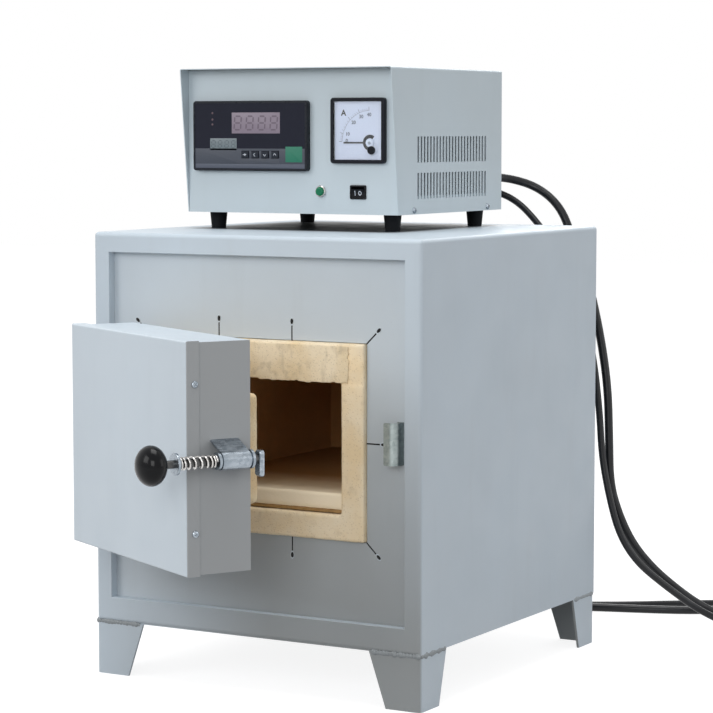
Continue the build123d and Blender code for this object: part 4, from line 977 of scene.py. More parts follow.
class Scatter:
    """Sets a pattern shape on seats, each with its turn, size and a seeded spin."""

    def __init__(self) -> None:
        """Build the tree."""
        tree = PieceTree("set_on_seats")
        pattern = tree.size("Pattern", "Object")
        seed = tree.size("Seed", "Int")
        spin = tree.size("Spin")
        wobble = tree.size("Wobble")
        turn, size = (tree.node("GeometryNodeInputNamedAttribute", {0: name},
                                data_type="FLOAT_VECTOR").outputs[0] for name in ("turn", "size"))
        aim = tree.node("FunctionNodeEulerToRotation", {0: turn}).outputs[0]
        chance = tree.node("FunctionNodeRandomValue", {2: -math.pi, 3: math.pi, "Seed": seed}).outputs[1]
        angle = tree.math("MULTIPLY", chance, spin)
        about = tree.node("FunctionNodeAxisAngleToRotation", {"Axis": (0.0, 0.0, 1.0), "Angle": angle})
        aim = tree.node("FunctionNodeRotateRotation", {0: aim, 1: about.outputs[0]},
                        rotation_space="LOCAL").outputs[0]
        other_seed = tree.math("ADD", seed, 7.0)
        swell = tree.node("FunctionNodeRandomValue", {2: -1.0, 3: 1.0, "Seed": other_seed}).outputs[1]
        swell = tree.math("ADD", tree.math("MULTIPLY", swell, wobble), 1.0)
        size = tree.vector("SCALE", size, swell)
        shape = tree.node("GeometryNodeObjectInfo", {0: pattern, 1: True}).outputs["Geometry"]
        copies = tree.node("GeometryNodeInstanceOnPoints", {
            "Points": tree.entry.outputs[0], "Instance": shape, "Rotation": aim, "Scale": size})
        tree.close(copies.outputs[0])
        self.tree = tree

    def run(self, pattern: bpy.types.Mesh, seats: Sequence[Seat], finish: Finish, seed: int = 1,
            spin: float = 0.0, wobble: float = 0.0) -> bpy.types.Mesh:
        """Set a pattern on seats.

        Args:
            pattern: Shape to repeat, standing on Z.
            seats: Places.
            finish: Finish of the copies.
            seed: Seed of the chance.
            spin: Share of a full turn left to chance.
            wobble: Share of the size left to chance.

        Returns:
            One plain mesh.
        """
        base = bpy.data.meshes.new("seats")
        base.from_pydata([seat.at for seat in seats], [], [])
        turns = base.attributes.new("turn", "FLOAT_VECTOR", "POINT")
        sizes = base.attributes.new("size", "FLOAT_VECTOR", "POINT")
        for index, seat in enumerate(seats):
            turns.data[index].vector = seat.turn
            sizes.data[index].vector = seat.size
        model = placed("pattern", pattern)
        mesh = self.tree.run(base, finish, {"Pattern": model, "Seed": seed, "Spin": spin, "Wobble": wobble})
        bpy.data.objects.remove(model)
        return mesh


class CoilTree:
    """Winds round wire about a line, with the end turns drawn together."""

    def __init__(self) -> None:
        """Build the tree."""
        tree = PieceTree("wound_wire")
        turns = tree.size("Turns")
        radius = tree.size("Radius")
        wire = tree.size("Wire")
        closing = tree.size("Closing")
        steps = tree.size("Steps")
        sides = tree.size("Sides", "Int")
        line = tree.node("GeometryNodeMeshToCurve", {0: tree.entry.outputs[0]}).outputs[0]
        count = tree.math("ADD", tree.math("MULTIPLY", turns, steps), 1.0)
        line = tree.node("GeometryNodeResampleCurve", {"Curve": line, "Count": count}).outputs[0]
        along = tree.node("GeometryNodeSplineParameter")
        share = along.outputs["Factor"]
        total = tree.node("GeometryNodeSplineLength").outputs["Length"]
        tangent = tree.node("GeometryNodeInputTangent").outputs[0]
        normal = tree.node("GeometryNodeInputNormal").outputs[0]
        across = tree.vector("CROSS_PRODUCT", tangent, normal)
        angle = tree.math("MULTIPLY", tree.math("MULTIPLY", share, turns), math.tau)
        side = tree.vector("SCALE", normal, tree.math("MULTIPLY", tree.math("COSINE", angle), radius))
        lift = tree.vector("SCALE", across, tree.math("MULTIPLY", tree.math("SINE", angle), radius))
        wave = tree.math("SINE", tree.math("MULTIPLY", share, math.tau))
        draw = tree.math("MULTIPLY", tree.math("MULTIPLY", wave, closing),
                         tree.math("DIVIDE", total, -math.tau))
        slide = tree.vector("SCALE", tangent, draw)
        offset = tree.vector("ADD", tree.vector("ADD", side, lift), slide)
        line = tree.node("GeometryNodeSetPosition", {"Geometry": line, "Offset": offset}).outputs[0]
        ring = tree.node("GeometryNodeCurvePrimitiveCircle", {"Resolution": sides, "Radius": wire})
        tube = tree.node("GeometryNodeCurveToMesh",
                         {"Curve": line, "Profile Curve": ring.outputs[0], "Fill Caps": True})
        tree.close(tube.outputs[0])
        self.tree = tree

    def run(self, line: Sequence[Sequence[float]], finish: Finish, turns: float, radius: float, wire: float,
            closing: float = 0.0, steps: float = 20.0, sides: int = 10) -> bpy.types.Mesh:
        """Wind wire about a line.

        Args:
            line: Points of the line.
            finish: Finish of the wire.
            turns: Number of turns.
            radius: Radius to the middle of the wire.
            wire: Radius of the wire.
            closing: How far the end turns are drawn together, 0 to 1.
            steps: Runs in each turn.
            sides: Sides of the wire.

        Returns:
            A plain mesh.
        """
        base = bpy.data.meshes.new("coil_line")
        base.from_pydata([Vector(p) for p in line], [(i, i + 1) for i in range(len(line) - 1)], [])
        return self.tree.run(base, finish, {"Turns": turns, "Radius": radius, "Wire": wire,
                                            "Closing": closing, "Steps": steps, "Sides": sides})


def screw_head(radius: float, height: float) -> bpy.types.Mesh:
    """A domed head with a cross recess, standing on Z = 0.

    Args:
        radius: Radius of the head.
        height: Height of the head.

    Returns:
        The mesh.
    """
    profile = [(0.0, -0.2 * MM), (radius * 0.9, -0.2 * MM), (radius * 0.97, height * 0.1)]
    for step in range(1, 7):
        angle = math.radians(90 * step / 6)
        profile.append((radius * math.cos(angle) * 0.98, height * (0.22 + 0.78 * math.sin(angle))))
    profile[-1] = (0.0, height)
    head = placed("head", lathe("head", profile, 28))
    arms = bmesh.new()
    for turn in (0.0, math.pi / 2):
        place = Matrix.Translation((0, 0, height)) @ Matrix.Rotation(turn, 4, "Z")
        shape = place @ Matrix.Diagonal((radius * 1.15, radius * 0.24, height * 1.1, 1))
        bmesh.ops.create_cube(arms, size=1.0, matrix=shape)
    cutter = placed("cutter", bmesh_to_mesh("cutter", arms))
    cut = head.modifiers.new("recess", "BOOLEAN")
    cut.operation = "DIFFERENCE"
    cut.solver = "EXACT"
    cut.use_self = True
    cut.object = cutter
    mesh = evaluated_mesh(head)
    bpy.data.objects.remove(cutter)
    return mesh


@dataclass
class Workshop:
    """What every sub-assembly works with: the frame and the shared trees."""

    frame: dict[str, Any]
    scatter: Scatter
    coil: CoilTree
    door_ajar: float = 29.7
    hinge: Pair = (-0.191, -0.239)
    screw_radius: float = 0.004
    screw_height: float = 0.0024

    def dress(self, finish: Finish, *nodes: str) -> None:
        """Give nodes of the frame a finish.

        Args:
            finish: The finish.
            *nodes: Node names.
        """
        for node in nodes:
            item = self.frame["nodes"][node]
            if not item.material_slots:
                item.data.materials.append(finish.material())
            for slot in item.material_slots:
                slot.material = finish.material()

    def swing(self) -> Matrix:
        """The turn that carries a shut door to where the frame has it."""
        pin = Vector((*self.hinge, 0.0))
        turn = Matrix.Rotation(-math.radians(self.door_ajar), 4, "Z")
        return Matrix.Translation(pin) @ turn @ Matrix.Translation(-pin)

    def screws(self, seats: Sequence[Seat], seed: int) -> bpy.types.Mesh:
        """Plated screw heads, each turned by chance.

        Args:
            seats: Places of the heads.
            seed: Seed of the chance.

        Returns:
            One plain mesh.
        """
        head = screw_head(self.screw_radius, self.screw_height)
        return self.scatter.run(head, seats, Finish.ZINC, seed, spin=1.0)


class SubAssembly:
    """A part of the furnace that dresses its own nodes and adds its own pieces."""

    def build(self, shop: Workshop) -> None:
        """Dress the nodes and add the pieces.

        Args:
            shop: Frame and shared trees.
        """
        raise NotImplementedError


# --------------------------------------------------------------- sub-assemblies
@dataclass
class Studio:
    """Camera, floor, white surroundings and lamps."""

    camera_at: Triple = (1.581, -2.748, 0.661)
    heading: float = 29.82
    dip: float = 5.07
    lens_mm: float = 128.8
    sensor_mm: float = 36.0
    floor_reach: float = 9.0
    floor_colour: Triple = (0.30, 0.30, 0.305)
    floor_glow: float = 0.86
    surround: float = 0.46
    lamps: tuple[tuple[str, Triple, Triple, float, float], ...] = (
        ("key", (-2.0, -3.4, 2.2), (0.0, -0.1, 0.40), 2.0, 45.0),
        ("near", (1.1, -3.7, 1.5), (0.0, -0.2, 0.33), 1.6, 36.0),
        ("right", (3.4, 0.9, 1.3), (0.1, 0.0, 0.35), 2.0, 18.0),
        ("top", (0.1, -0.2, 3.4), (0.0, 0.0, 0.4), 1.8, 48.0),
        ("rear", (-0.6, 3.4, 2.0), (0.0, 0.2, 0.3), 2.0, 34.0),
    )

    def place_camera(self) -> None:
        """Stand the camera where the furnace is seen from its front right."""
        camera = bpy.data.cameras.new("camera")
        camera.lens = self.lens_mm
        camera.sensor_width = self.sensor_mm
        holder = placed("camera", camera)
        turn, tilt = math.radians(self.heading), math.radians(self.dip)
        holder.rotation_euler = (math.pi / 2 - tilt, 0.0, turn)
        holder.location = self.camera_at
        bpy.context.scene.camera = holder

    @staticmethod
    def seen(work: NodeWork) -> Any:
        """Find out whether a surface is looked at, mirrored or seen through glass.

        Args:
            work: Tree being built.

        Returns:
            A socket, 1 where it is.
        """
        rays = work.node("ShaderNodeLightPath").outputs
        sight = rays["Is Camera Ray"]
        for ray in ("Is Glossy Ray", "Is Transmission Ray"):
            sight = work.node("ShaderNodeMath", {0: sight, 1: rays[ray]}, operation="MAXIMUM").outputs[0]
        return sight

    def lay_floor(self) -> None:
        """Lay a plain floor that looks white and keeps the shadow."""
        reach = self.floor_reach
        mesh = bpy.data.meshes.new("floor")
        corners = [(-reach, -reach, 0), (reach, -reach, 0), (reach, reach, 0), (-reach, reach, 0)]
        mesh.from_pydata(corners, [], [(0, 1, 2, 3)])
        floor = placed("floor", mesh)
        sheet = ShaderSheet("floor")
        glow = sheet.product(self.seen(sheet), self.floor_glow)
        white = sheet.node("ShaderNodeEmission", {"Strength": glow})
        both = sheet.node("ShaderNodeAddShader", {0: sheet.surface.outputs["BSDF"], 1: white.outputs[0]})
        sheet.feed(sheet.exit.inputs["Surface"], both.outputs[0])
        mesh.materials.append(sheet.done(Base_Color=self.floor_colour, Roughness=0.9,
                                         Specular_IOR_Level=0.1))

    def light(self) -> None:
        """Set the world, white where it is seen, and the lamps."""
        scene = bpy.context.scene
        scene.view_settings.view_transform = "Standard"
        scene.world = bpy.data.worlds.new("surround")
        scene.world.use_nodes = True
        work = NodeWork(scene.world.node_tree)
        work.tree.nodes.clear()
        level = work.node("ShaderNodeMapRange", {0: self.seen(work), 3: self.surround, 4: 1.0})
        back = work.node("ShaderNodeBackground", {"Color": (1.0, 1.0, 1.0), "Strength": level.outputs[0]})
        work.node("ShaderNodeOutputWorld", {"Surface": back.outputs[0]})
        for name, place, aim, size, power in self.lamps:
            lamp = bpy.data.lights.new(name, "AREA")
            lamp.size = size
            lamp.energy = power
            holder = placed(name + "_lamp", lamp)
            holder.location = place
            holder.rotation_euler = (Vector(place) - Vector(aim)).to_track_quat("Z", "Y").to_euler()

    def build(self) -> None:
        """Set the whole studio up."""
        self.place_camera()
        self.lay_floor()
        self.light()
        LOG.info("studio ready with %d lamps", len(self.lamps))


@dataclass
class Cord:
    """One rubber cord, from the controller's back to the furnace's terminal cover."""

    name: str
    node: str
    route_mm: tuple[Triple, ...]
    length_mm: float
    radius_mm: float

    def build(self) -> None:
        """Lay the cord as one smooth spline."""
        curve = bpy.data.curves.new(self.name, "CURVE")
        curve.dimensions = "3D"
        line = curve.splines.new("NURBS")
        line.points.add(len(self.route_mm) - 1)
        for point, place in zip(line.points, self.route_mm):
            point.co = (*(value * MM for value in place), 1.0)
        line.order_u = 3
        line.use_endpoint_u = True
        line.resolution_u = 10
        curve.bevel_depth = self.radius_mm * MM
        curve.bevel_resolution = 5
        curve.use_fill_caps = True
        curve.materials.append(Finish.SHEATH.material())
        cord = placed(self.name, curve)
        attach(cord, "furnace")
        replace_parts(cord, self.node)
        LOG.info("%s: %d points", self.name, len(self.route_mm))


HEATER_CORD = Cord(
    "heater_supply_cord", "heater_cord",
    ((55, 214.5, 600), (55, 252.5, 600), (75, 287, 598), (108, 306, 586), (141, 304, 561), (160, 300, 523),
     (187, 292, 469), (207, 286, 402), (221, 283, 330), (224, 282, 259), (225, 283, 203), (235, 287, 164),
     (250, 299, 123), (270, 321, 88), (292, 353, 57), (307, 393, 31), (344, 415, 9), (392, 419, 5.5),
     (430, 451, 5.5), (436, 501, 5.5), (405, 541, 5.5), (355, 544, 5.5), (309, 513, 5.5), (268, 477, 5.5),
     (215, 455, 5.5), (156, 436, 5.5), (98, 413, 6), (55, 371, 20), (38, 327, 62), (36, 281, 104),
     (37, 261, 150), (37, 261, 197)),
    1616.0, 5.5)

SENSOR_CORD = Cord(
    "sensor_lead_cord", "sensor_cord",
    ((30, 214.5, 585), (30, 247, 585), (47, 276, 583), (75, 292, 573), (107, 290, 549), (156, 279, 496),
     (187, 274, 437), (206, 271, 366), (216, 269, 296), (220, 268, 239), (231, 268, 186), (244, 271, 138),
     (263, 283, 102), (288, 308, 72), (330, 355, 26), (400, 365, 4.5), (468, 387, 4.5), (516, 437, 4.5),
     (532, 505, 4.5), (514, 573, 4.5), (458, 615, 4.5), (390, 611, 4.5), (324, 581, 4.5), (245, 534, 4.5),
     (160, 470, 4.5), (75, 425, 4.5), (10, 383, 10), (-22, 335, 50), (-33, 285, 100), (-33, 261, 150),
     (-33, 261, 197)),
    1912.0, 4.5)


@dataclass
class FurnaceShell(SubAssembly):
    """Painted shell, recessed panel, bent legs, their welds and the shell's screws."""

    half_width: float = 0.225
    half_depth: float = 0.235
    leg_height: float = 0.065
    leg_front: float = 0.068
    leg_side: float = 0.062
    bead_pitch: float = 0.0044
    bead: Triple = (0.0036, 0.0030, 0.0019)
    bead_drop: float = 0.0004
    bead_sink: float = 0.0006
    bead_lean: float = 0.5
    back_screw_x: float = 0.2132
    back_screw_z: Triple = (0.0765, 0.302, 0.5275)
    terminal_screw_x: Pair = (-0.174, 0.168)
    terminal_screw_z: Pair = (0.227, 0.353)
    terminal_seat_y: float = 0.2362
    cabinet_side_x: Pair = (-0.192, 0.108)
    cabinet_screw_y: Pair = (-0.038, 0.157)
    cabinet_screw_z: float = 0.5645

    def weld_seats(self) -> list[Seat]:
        """Places of the ripples along the tops of the legs."""
        seats = []
        z = self.leg_height - self.bead_drop
        for side_x in (-1, 1):
            for side_y in (-1, 1):
                for step in range(1, int(self.leg_front / self.bead_pitch)):
                    x = side_x * (self.half_width - step * self.bead_pitch)
                    y = side_y * (self.half_depth - self.bead_sink)
                    seats.append(facing((x, y, z), (0, side_y, 0), self.bead_lean * side_y, self.bead))
                for step in range(1, int(self.leg_side / self.bead_pitch)):
                    x = side_x * (self.half_width - self.bead_sink)
                    y = side_y * (self.half_depth - step * self.bead_pitch)
                    seats.append(facing((x, y, z), (side_x, 0, 0), self.bead_lean * side_x, self.bead))
        return seats

    def screw_seats(self) -> list[Seat]:
        """Places of the screws in the back, the terminal cover and the controller's sides."""
        seats = [facing((side * self.back_screw_x, self.half_depth, z), TO_BACK)
                 for side in (-1, 1) for z in self.back_screw_z]
        seats += [facing((x, self.terminal_seat_y, z), TO_BACK)
                  for x in self.terminal_screw_x for z in self.terminal_screw_z]
        for side, x in zip((-1, 1), self.cabinet_side_x):
            seats += [facing((x, y, self.cabinet_screw_z), (side, 0, 0)) for y in self.cabinet_screw_y]
        return seats

    def build(self, shop: Workshop) -> None:
        """Dress the shell and set its welds and screws."""
        shop.dress(Finish.BODY, "outer_shell", "back_panel", "bottom_panel", "terminal_cover",
                   "leg_front_left", "leg_front_right", "leg_rear_left", "leg_rear_right")
        shop.dress(Finish.PANEL, "front_panel")
        ball = bmesh.new()
        bmesh.ops.create_icosphere(ball, subdivisions=2, radius=1.0)
        beads = shop.scatter.run(bmesh_to_mesh("bead", ball), self.weld_seats(), Finish.WELD,
                                 seed=11, spin=0.06, wobble=0.28)
        new_piece("leg_weld_beads", beads, "furnace", crease=1.2)
        screws = shop.screws(self.screw_seats(), seed=5)
        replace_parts(new_piece("shell_screw_heads", screws, "furnace"), "case_screws")


@dataclass
class ReliefCuts(SubAssembly):
    """Dark keyhole cuts in the front panel about the mouth, with rims at their eyes."""

    centre: Pair = (-0.003, 0.303)
    reach: Pair = (0.1508, 0.1153)
    length: float = 0.023
    width: float = 0.0017
    eye: float = 0.00195
    face: float = -0.223
    sunk: float = 0.0002
    sheet: float = 0.0015
    sides: int = 24
    eye_shift: float = 0.0014
    eye_size: Triple = (1.7, 1.0, 1.0)
    rim_seat: float = -0.0001
    rim_width: float = 0.0009
    rim_height: float = 0.00022
    rim_round: float = 0.0003
    fill_rim: Pair = (0.96, 0.00006)
    fill_height: float = 0.0001

    def starts(self) -> list[tuple[Vector, Vector]]:
        """Start and direction of every cut, in X and Z."""
        (x, z), (wide, high) = self.centre, self.reach
        cuts = [(sx * wide, sz * high, sx, sz) for sx in (-1, 1) for sz in (-1, 1)]
        cuts += [(sx * wide, 0.0, sx, 0) for sx in (-1, 1)]
        cuts += [(sx * wide / 3, sz * high, 0, sz) for sx in (-1, 1) for sz in (-1, 1)]
        return [(Vector((x + dx, z + dz)), Vector((wx, wz)).normalized()) for dx, dz, wx, wz in cuts]

    def build(self, shop: Workshop) -> None:
        """Fill each cut with shade and rim its eye."""
        shape, rims = bmesh.new(), []
        half = self.width / 2
        lean = math.pi - math.asin(half / self.eye)
        for start, way in self.starts():
            across = Vector((-way.y, way.x))
            local = [(-half, -half)]
            for step in range(self.sides + 1):
                angle = -lean + 2 * lean * step / self.sides
                local.append((self.length + self.eye * math.cos(angle), self.eye * math.sin(angle)))
            local.append((-half, half))
            outline = [tuple(start + way * u + across * v) for u, v in local]
            shape.from_mesh(slab("cut", outline, self.face + self.sunk, self.face + self.sheet))
            x, z = start + way * (self.length - self.eye_shift)
            rims.append(facing((x, self.face, z), TO_FRONT, math.atan2(way.y, way.x), self.eye_size))
        new_piece("relief_cut_shade", bmesh_to_mesh("relief_cut_shade", shape), "furnace", Finish.SHADE)
        eye, low, curl = self.eye, self.rim_seat, self.rim_round
        outer = eye + self.rim_width
        rim = lathe("rim", [(eye, low), (outer, low), (outer - curl, self.rim_height),
                            (eye + curl, self.rim_height), (eye, low)], self.sides)
        new_piece("relief_cut_rims", shop.scatter.run(rim, rims, Finish.DOOR), "furnace")
        # Dark discs of painted shadow fill the eyes.
        share, height = self.fill_rim
        fill = lathe("fill", [(0.0, low), (eye, low), (eye * share, height), (0.0, self.fill_height)],
                     self.sides)
        new_piece("relief_cut_eyes", shop.scatter.run(fill, rims, Finish.SHADE), "furnace")


@dataclass
class CeramicLining(SubAssembly):
    """Cemented mouth border, hearth slab, chamber walls and wound elements."""

    mouth_voxel: float = 0.0021
    hearth_voxel: float = 0.0026
    border_top: float = 0.372
    mouth_front: float = -0.231
    mouth_x: Pair = (-0.1535, 0.1475)
    mouth_top: float = 0.418
    opening_x: Pair = (-0.1225, 0.1165)
    opening_z: Pair = (0.219, 0.372)
    skin: float = 0.0010
    grout_y: Pair = (-0.2222, -0.2166)
    grout_height: float = 0.0052
    element_x: Pair = (-0.144, 0.138)
    element_low: float = 0.2550
    element_pitch: float = 0.027
    element_runs: int = 4
    element_near: float = -0.155
    element_far: float = 0.151
    element_end: float = 0.178
    element_radius: float = 0.0036
    element_wire: float = 0.0008
    element_turn_pitch: float = 0.0042
    element_bend: float = 0.0053
    skin_voxel: float = 0.0013
    skin_back: float = 0.0034
    skin_inset: float = 0.0028
    skin_overhang: float = 0.0110
    skin_top_gap: float = 0.0030
    skin_rag: float = 0.0022
    skin_drop: float = 0.0006
    skin_steps: int = 150
    skin_side_steps: int = 16
    grout_voxel: float = 0.0010
    grout_gap: float = 0.0004
    grout_rise: float = 0.0001

    def mouth_depth(self, place: Vector, normal: Vector) -> float:
        """How far the mouth border is sunk at a point.

        Args:
            place: Point of the surface.
            normal: Its outward normal.

        Returns:
            Depth in metres.
        """
        trowel = cloud(Vector((place.x * 55, place.y * 55, place.z * 26)), 1.0, 2.0, 4)
        sand = 0.5 + 0.5 * noise.noise(place * 420.0)
        depth = 0.00035 * sand + 0.0007 * unit_share(trowel)
        if place.z > self.border_top - 0.003 and normal.y < -0.3:
            rough = cloud(Vector((place.x * 95, 3.0, place.z * 60)), 0.8, 2.1, 4)
            depth += 0.0016 * unit_share(rough * 1.3 - 0.25)
        return depth

    def element_line(self, x: float) -> list[Triple]:
        """Line that one element follows, to and fro along a flank.

        Args:
            x: X of the element.

        Returns:
            Points of the line.
        """
        line: list[Triple] = [(x, self.element_end, self.element_low)]
        radius = self.element_bend
        for run in range(self.element_runs - 1):
            z = self.element_low + run * self.element_pitch
            near = run % 2 == 0
            stop = self.element_near if near else self.element_far
            way = -1 if near else 1
            for low, start in ((z, 0), (z + self.element_pitch, 90)):
                for step in range(5):
                    angle = math.radians(start + 22.5 * step)
                    across = stop - way * radius + way * radius * math.sin(angle)
                    shift = radius * (1 - math.cos(angle)) if start == 0 else -radius * (1 + math.cos(angle))
                    line.append((x, across, low + shift))
        line.append((x, self.element_end, self.element_low + (self.element_runs - 1) * self.element_pitch))
        return line

    def build(self, shop: Workshop) -> None:
        """Weather the clay and wind the elements."""
        shop.dress(Finish.CHAMBER, "muffle")
        shop.dress(Finish.WOOL, "insulation_jacket")
        shop.dress(Finish.PLUG, "lead_bushes")
        shop.dress(Finish.ZINC, "lead_terminals", "sensor_head")
        shop.dress(Finish.WIRE, "thermocouple")
        mouth = remeshed(node_mesh(shop.frame, "mouth_plate"), self.mouth_voxel)
        weather(mouth, self.mouth_depth)
        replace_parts(new_piece("mouth_border", mouth, "furnace", Finish.MOUTH, SMOOTH), "mouth_plate")
        hearth = remeshed(node_mesh(shop.frame, "hearth_slab"), self.hearth_voxel)
        weather(hearth, clay_wear(38.0, 400.0))
        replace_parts(new_piece("hearth_tile", hearth, "furnace", Finish.HEARTH, SMOOTH), "hearth_slab")
        self.build_skin()
        self.build_grout()
        coils = []
        for x in self.element_x:
            line = self.element_line(x)
            length = sum((Vector(b) - Vector(a)).length for a, b in zip(line, line[1:]))
            turns = length / self.element_turn_pitch
            coil = shop.coil.run(line, Finish.WIRE, turns, self.element_radius, self.element_wire,
                                 steps=9.0, sides=5)
            coils.append((coil, Matrix.Identity(4)))
        wound = joined("wound_elements", coils)
        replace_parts(new_piece("wound_elements", wound, "furnace", Finish.WIRE, SMOOTH), "heating_elements")

    def build_skin(self) -> None:
        """Trowel a ragged skin of cement over the top of the mouth."""
        left, right = self.mouth_x[0] + self.skin_inset, self.opening_x[1] + self.skin_overhang
        top = self.mouth_top - self.skin_top_gap
        lower = []
        for step in range(self.skin_steps + 1):
            x = left + (right - left) * step / self.skin_steps
            rag = noise.fractal(Vector((x * 75.0, 1.7, 0.0)), 0.6, 2.3, 5)
            lower.append((x, self.opening_z[1] - self.skin_drop + self.skin_rag * max(-1.0, min(1.0, rag))))
        corner = lower[-1][1]
        side = [(right + 0.0035 * noise.noise(Vector((0.3, 4.1, step * 0.9))),
                 corner + (top - corner) * step / self.skin_side_steps)
                for step in range(1, self.skin_side_steps + 1)]
        mesh = slab("skin", [(left, top), *lower, *side], self.mouth_front - self.skin,
                    self.mouth_front + self.skin_back)
        mesh = remeshed(mesh, self.skin_voxel)
        weather(mesh, lambda place, normal: 0.0002 + 0.0009 * cloud(
            Vector((place.x * 80, place.y * 80, place.z * 34)), 0.8, 2.1, 4))
        new_piece("mouth_cement_skin", mesh, "furnace", Finish.TROWEL, SMOOTH)

    def build_grout(self) -> None:
        """Point the joint under the hearth's front edge, its brown partly painted shade of the groove."""
        left, right = self.opening_x[0] + self.grout_gap, self.opening_x[1] - self.grout_gap
        low = self.opening_z[0] + self.grout_rise
        high = low + self.grout_height
        mesh = slab("grout", [(left, low), (right, low), (right, high), (left, high)], *self.grout_y)
        mesh = remeshed(mesh, self.grout_voxel)
        weather(mesh, lambda place, normal: 0.0002 + 0.0007 * cloud(place * 130.0, 0.9, 2.0, 4))
        new_piece("hearth_grout_line", mesh, "furnace", Finish.GROUT, SMOOTH)


@dataclass
class Door(SubAssembly):
    """Painted pan and casing, ceramic lining, hinges and screws of the door."""

    left: float = -0.152
    right: float = 0.146
    screw_y: float = -0.3035
    screw_z: Pair = (0.225, 0.388)
    strap_x: float = -0.1534
    strap_y: Pair = (-0.273, -0.253)
    strap_z: Pair = (0.2415, 0.3715)
    lining_voxel: float = 0.0026

    def build(self, shop: Workshop) -> None:
        """Dress the door and set its screws."""
        shop.dress(Finish.DOOR, "door_pan", "door_casing")
        shop.dress(Finish.WOOL, "door_insulation")
        shop.dress(Finish.ZINC, "hinge_brackets", "hinge_pins", "hinge_straps")
        swing = shop.swing()
        lining = remeshed(node_mesh(shop.frame, "door_plug", swing.inverted()), self.lining_voxel)
        weather(lining, clay_wear(42.0, 420.0))
        lining.transform(swing)
        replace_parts(new_piece("door_lining", lining, "door", Finish.PLUG, SMOOTH), "door_plug")
        seats = [facing((x, self.screw_y, z), (way, 0, 0))
                 for x, way in ((self.left, -1), (self.right, 1)) for z in self.screw_z]
        seats += [facing((self.strap_x, y, z), (-1, 0, 0)) for y in self.strap_y for z in self.strap_z]
        screws = shop.screws(seats, seed=3)
        screws.transform(swing)
        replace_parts(new_piece("door_screw_heads", screws, "door"), "door_screws")


@dataclass
class Latch(SubAssembly):
    """Knob, rod, wound spring, guide and hook of the latch, and the keeper."""

    rod_x: float = 0.166
    rod_z: float = 0.306
    door_front: float = -0.314
    cup_depth: float = 0.022
    spring_length: float = 0.048
    spring_radius: float = 0.0064
    spring_wire: float = 0.0011
    spring_turns: float = 9.0
    spring_gap: float = 0.0002
    travel: float = 0.006

    def build(self, shop: Workshop) -> None:
        """Dress the latch and wind its spring."""
        shop.dress(Finish.KNOB, "latch_knob")
        # The rod's dark steel is partly painted shade between the spring's coils.
        shop.dress(Finish.ROD, "latch_rod")
        shop.dress(Finish.ZINC, "latch_hook", "latch_saddle", "guide_tube", "rear_washer", "spring_cup",
                   "keeper_rivets")
        shop.dress(Finish.KEEPER, "keeper")
        front = self.door_front - self.cup_depth
        back = front + self.spring_length
        inset = self.spring_wire + self.spring_gap
        line = [(self.rod_x, front + inset, self.rod_z), (self.rod_x, back - inset, self.rod_z)]
        spring = shop.coil.run(line, Finish.STEEL, self.spring_turns, self.spring_radius, self.spring_wire,
                               closing=0.5, steps=28.0, sides=12)
        swing = shop.swing()
        spring.transform(swing)
        piece = new_piece("wound_latch_spring", spring, "latch_slide_body", crease=SMOOTH)
        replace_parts(piece, "latch_spring")
        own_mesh(piece)


@dataclass
class ControllerCase(SubAssembly):
    """Painted cover, front and tray of the controller, its feet and cable glands."""

    rib_count: int = 14
    gland_places: tuple[tuple[Triple, Triple], ...] = (
        ((0.055, 0.1965, 0.600), TO_BACK), ((0.030, 0.1965, 0.585), TO_BACK),
        ((0.037, 0.261, 0.215), (0, 0, -1)), ((-0.033, 0.261, 0.215), (0, 0, -1)))
    gland_nut: float = 0.008
    dome_radius: float = 0.0084
    rib: Triple = (0.0010, 0.0007, 0.0040)
    rib_sink: float = 0.0009
    rib_rise: float = 0.0042

    def build(self, shop: Workshop) -> None:
        """Dress the case and rib the gland domes."""
        shop.dress(Finish.CABINET, "cabinet_cover", "cabinet_front", "cabinet_tray")
        shop.dress(Finish.RUBBER, "cabinet_feet")
        shop.dress(Finish.GLAND, "cable_glands")
        ribs = []
        reach = Vector((self.dome_radius - self.rib_sink, 0.0, self.gland_nut + self.rib_rise))
        for place, way in self.gland_places:
            turn = Vector(way).to_track_quat("Z", "Y").to_matrix()
            for step in range(self.rib_count):
                lean = turn @ Matrix.Rotation(math.tau * step / self.rib_count, 3, "Z")
                ribs.append(Seat(Vector(place) + lean @ reach, lean.to_euler(), self.rib))
        block = bmesh.new()
        bmesh.ops.create_cube(block, size=2.0)
        bmesh.ops.bevel(block, geom=block.edges[:], offset=0.4, segments=1, affect="EDGES")
        mesh = shop.scatter.run(bmesh_to_mesh("rib", block), ribs, Finish.GLAND)
        new_piece("gland_grip_ribs", mesh, "furnace")


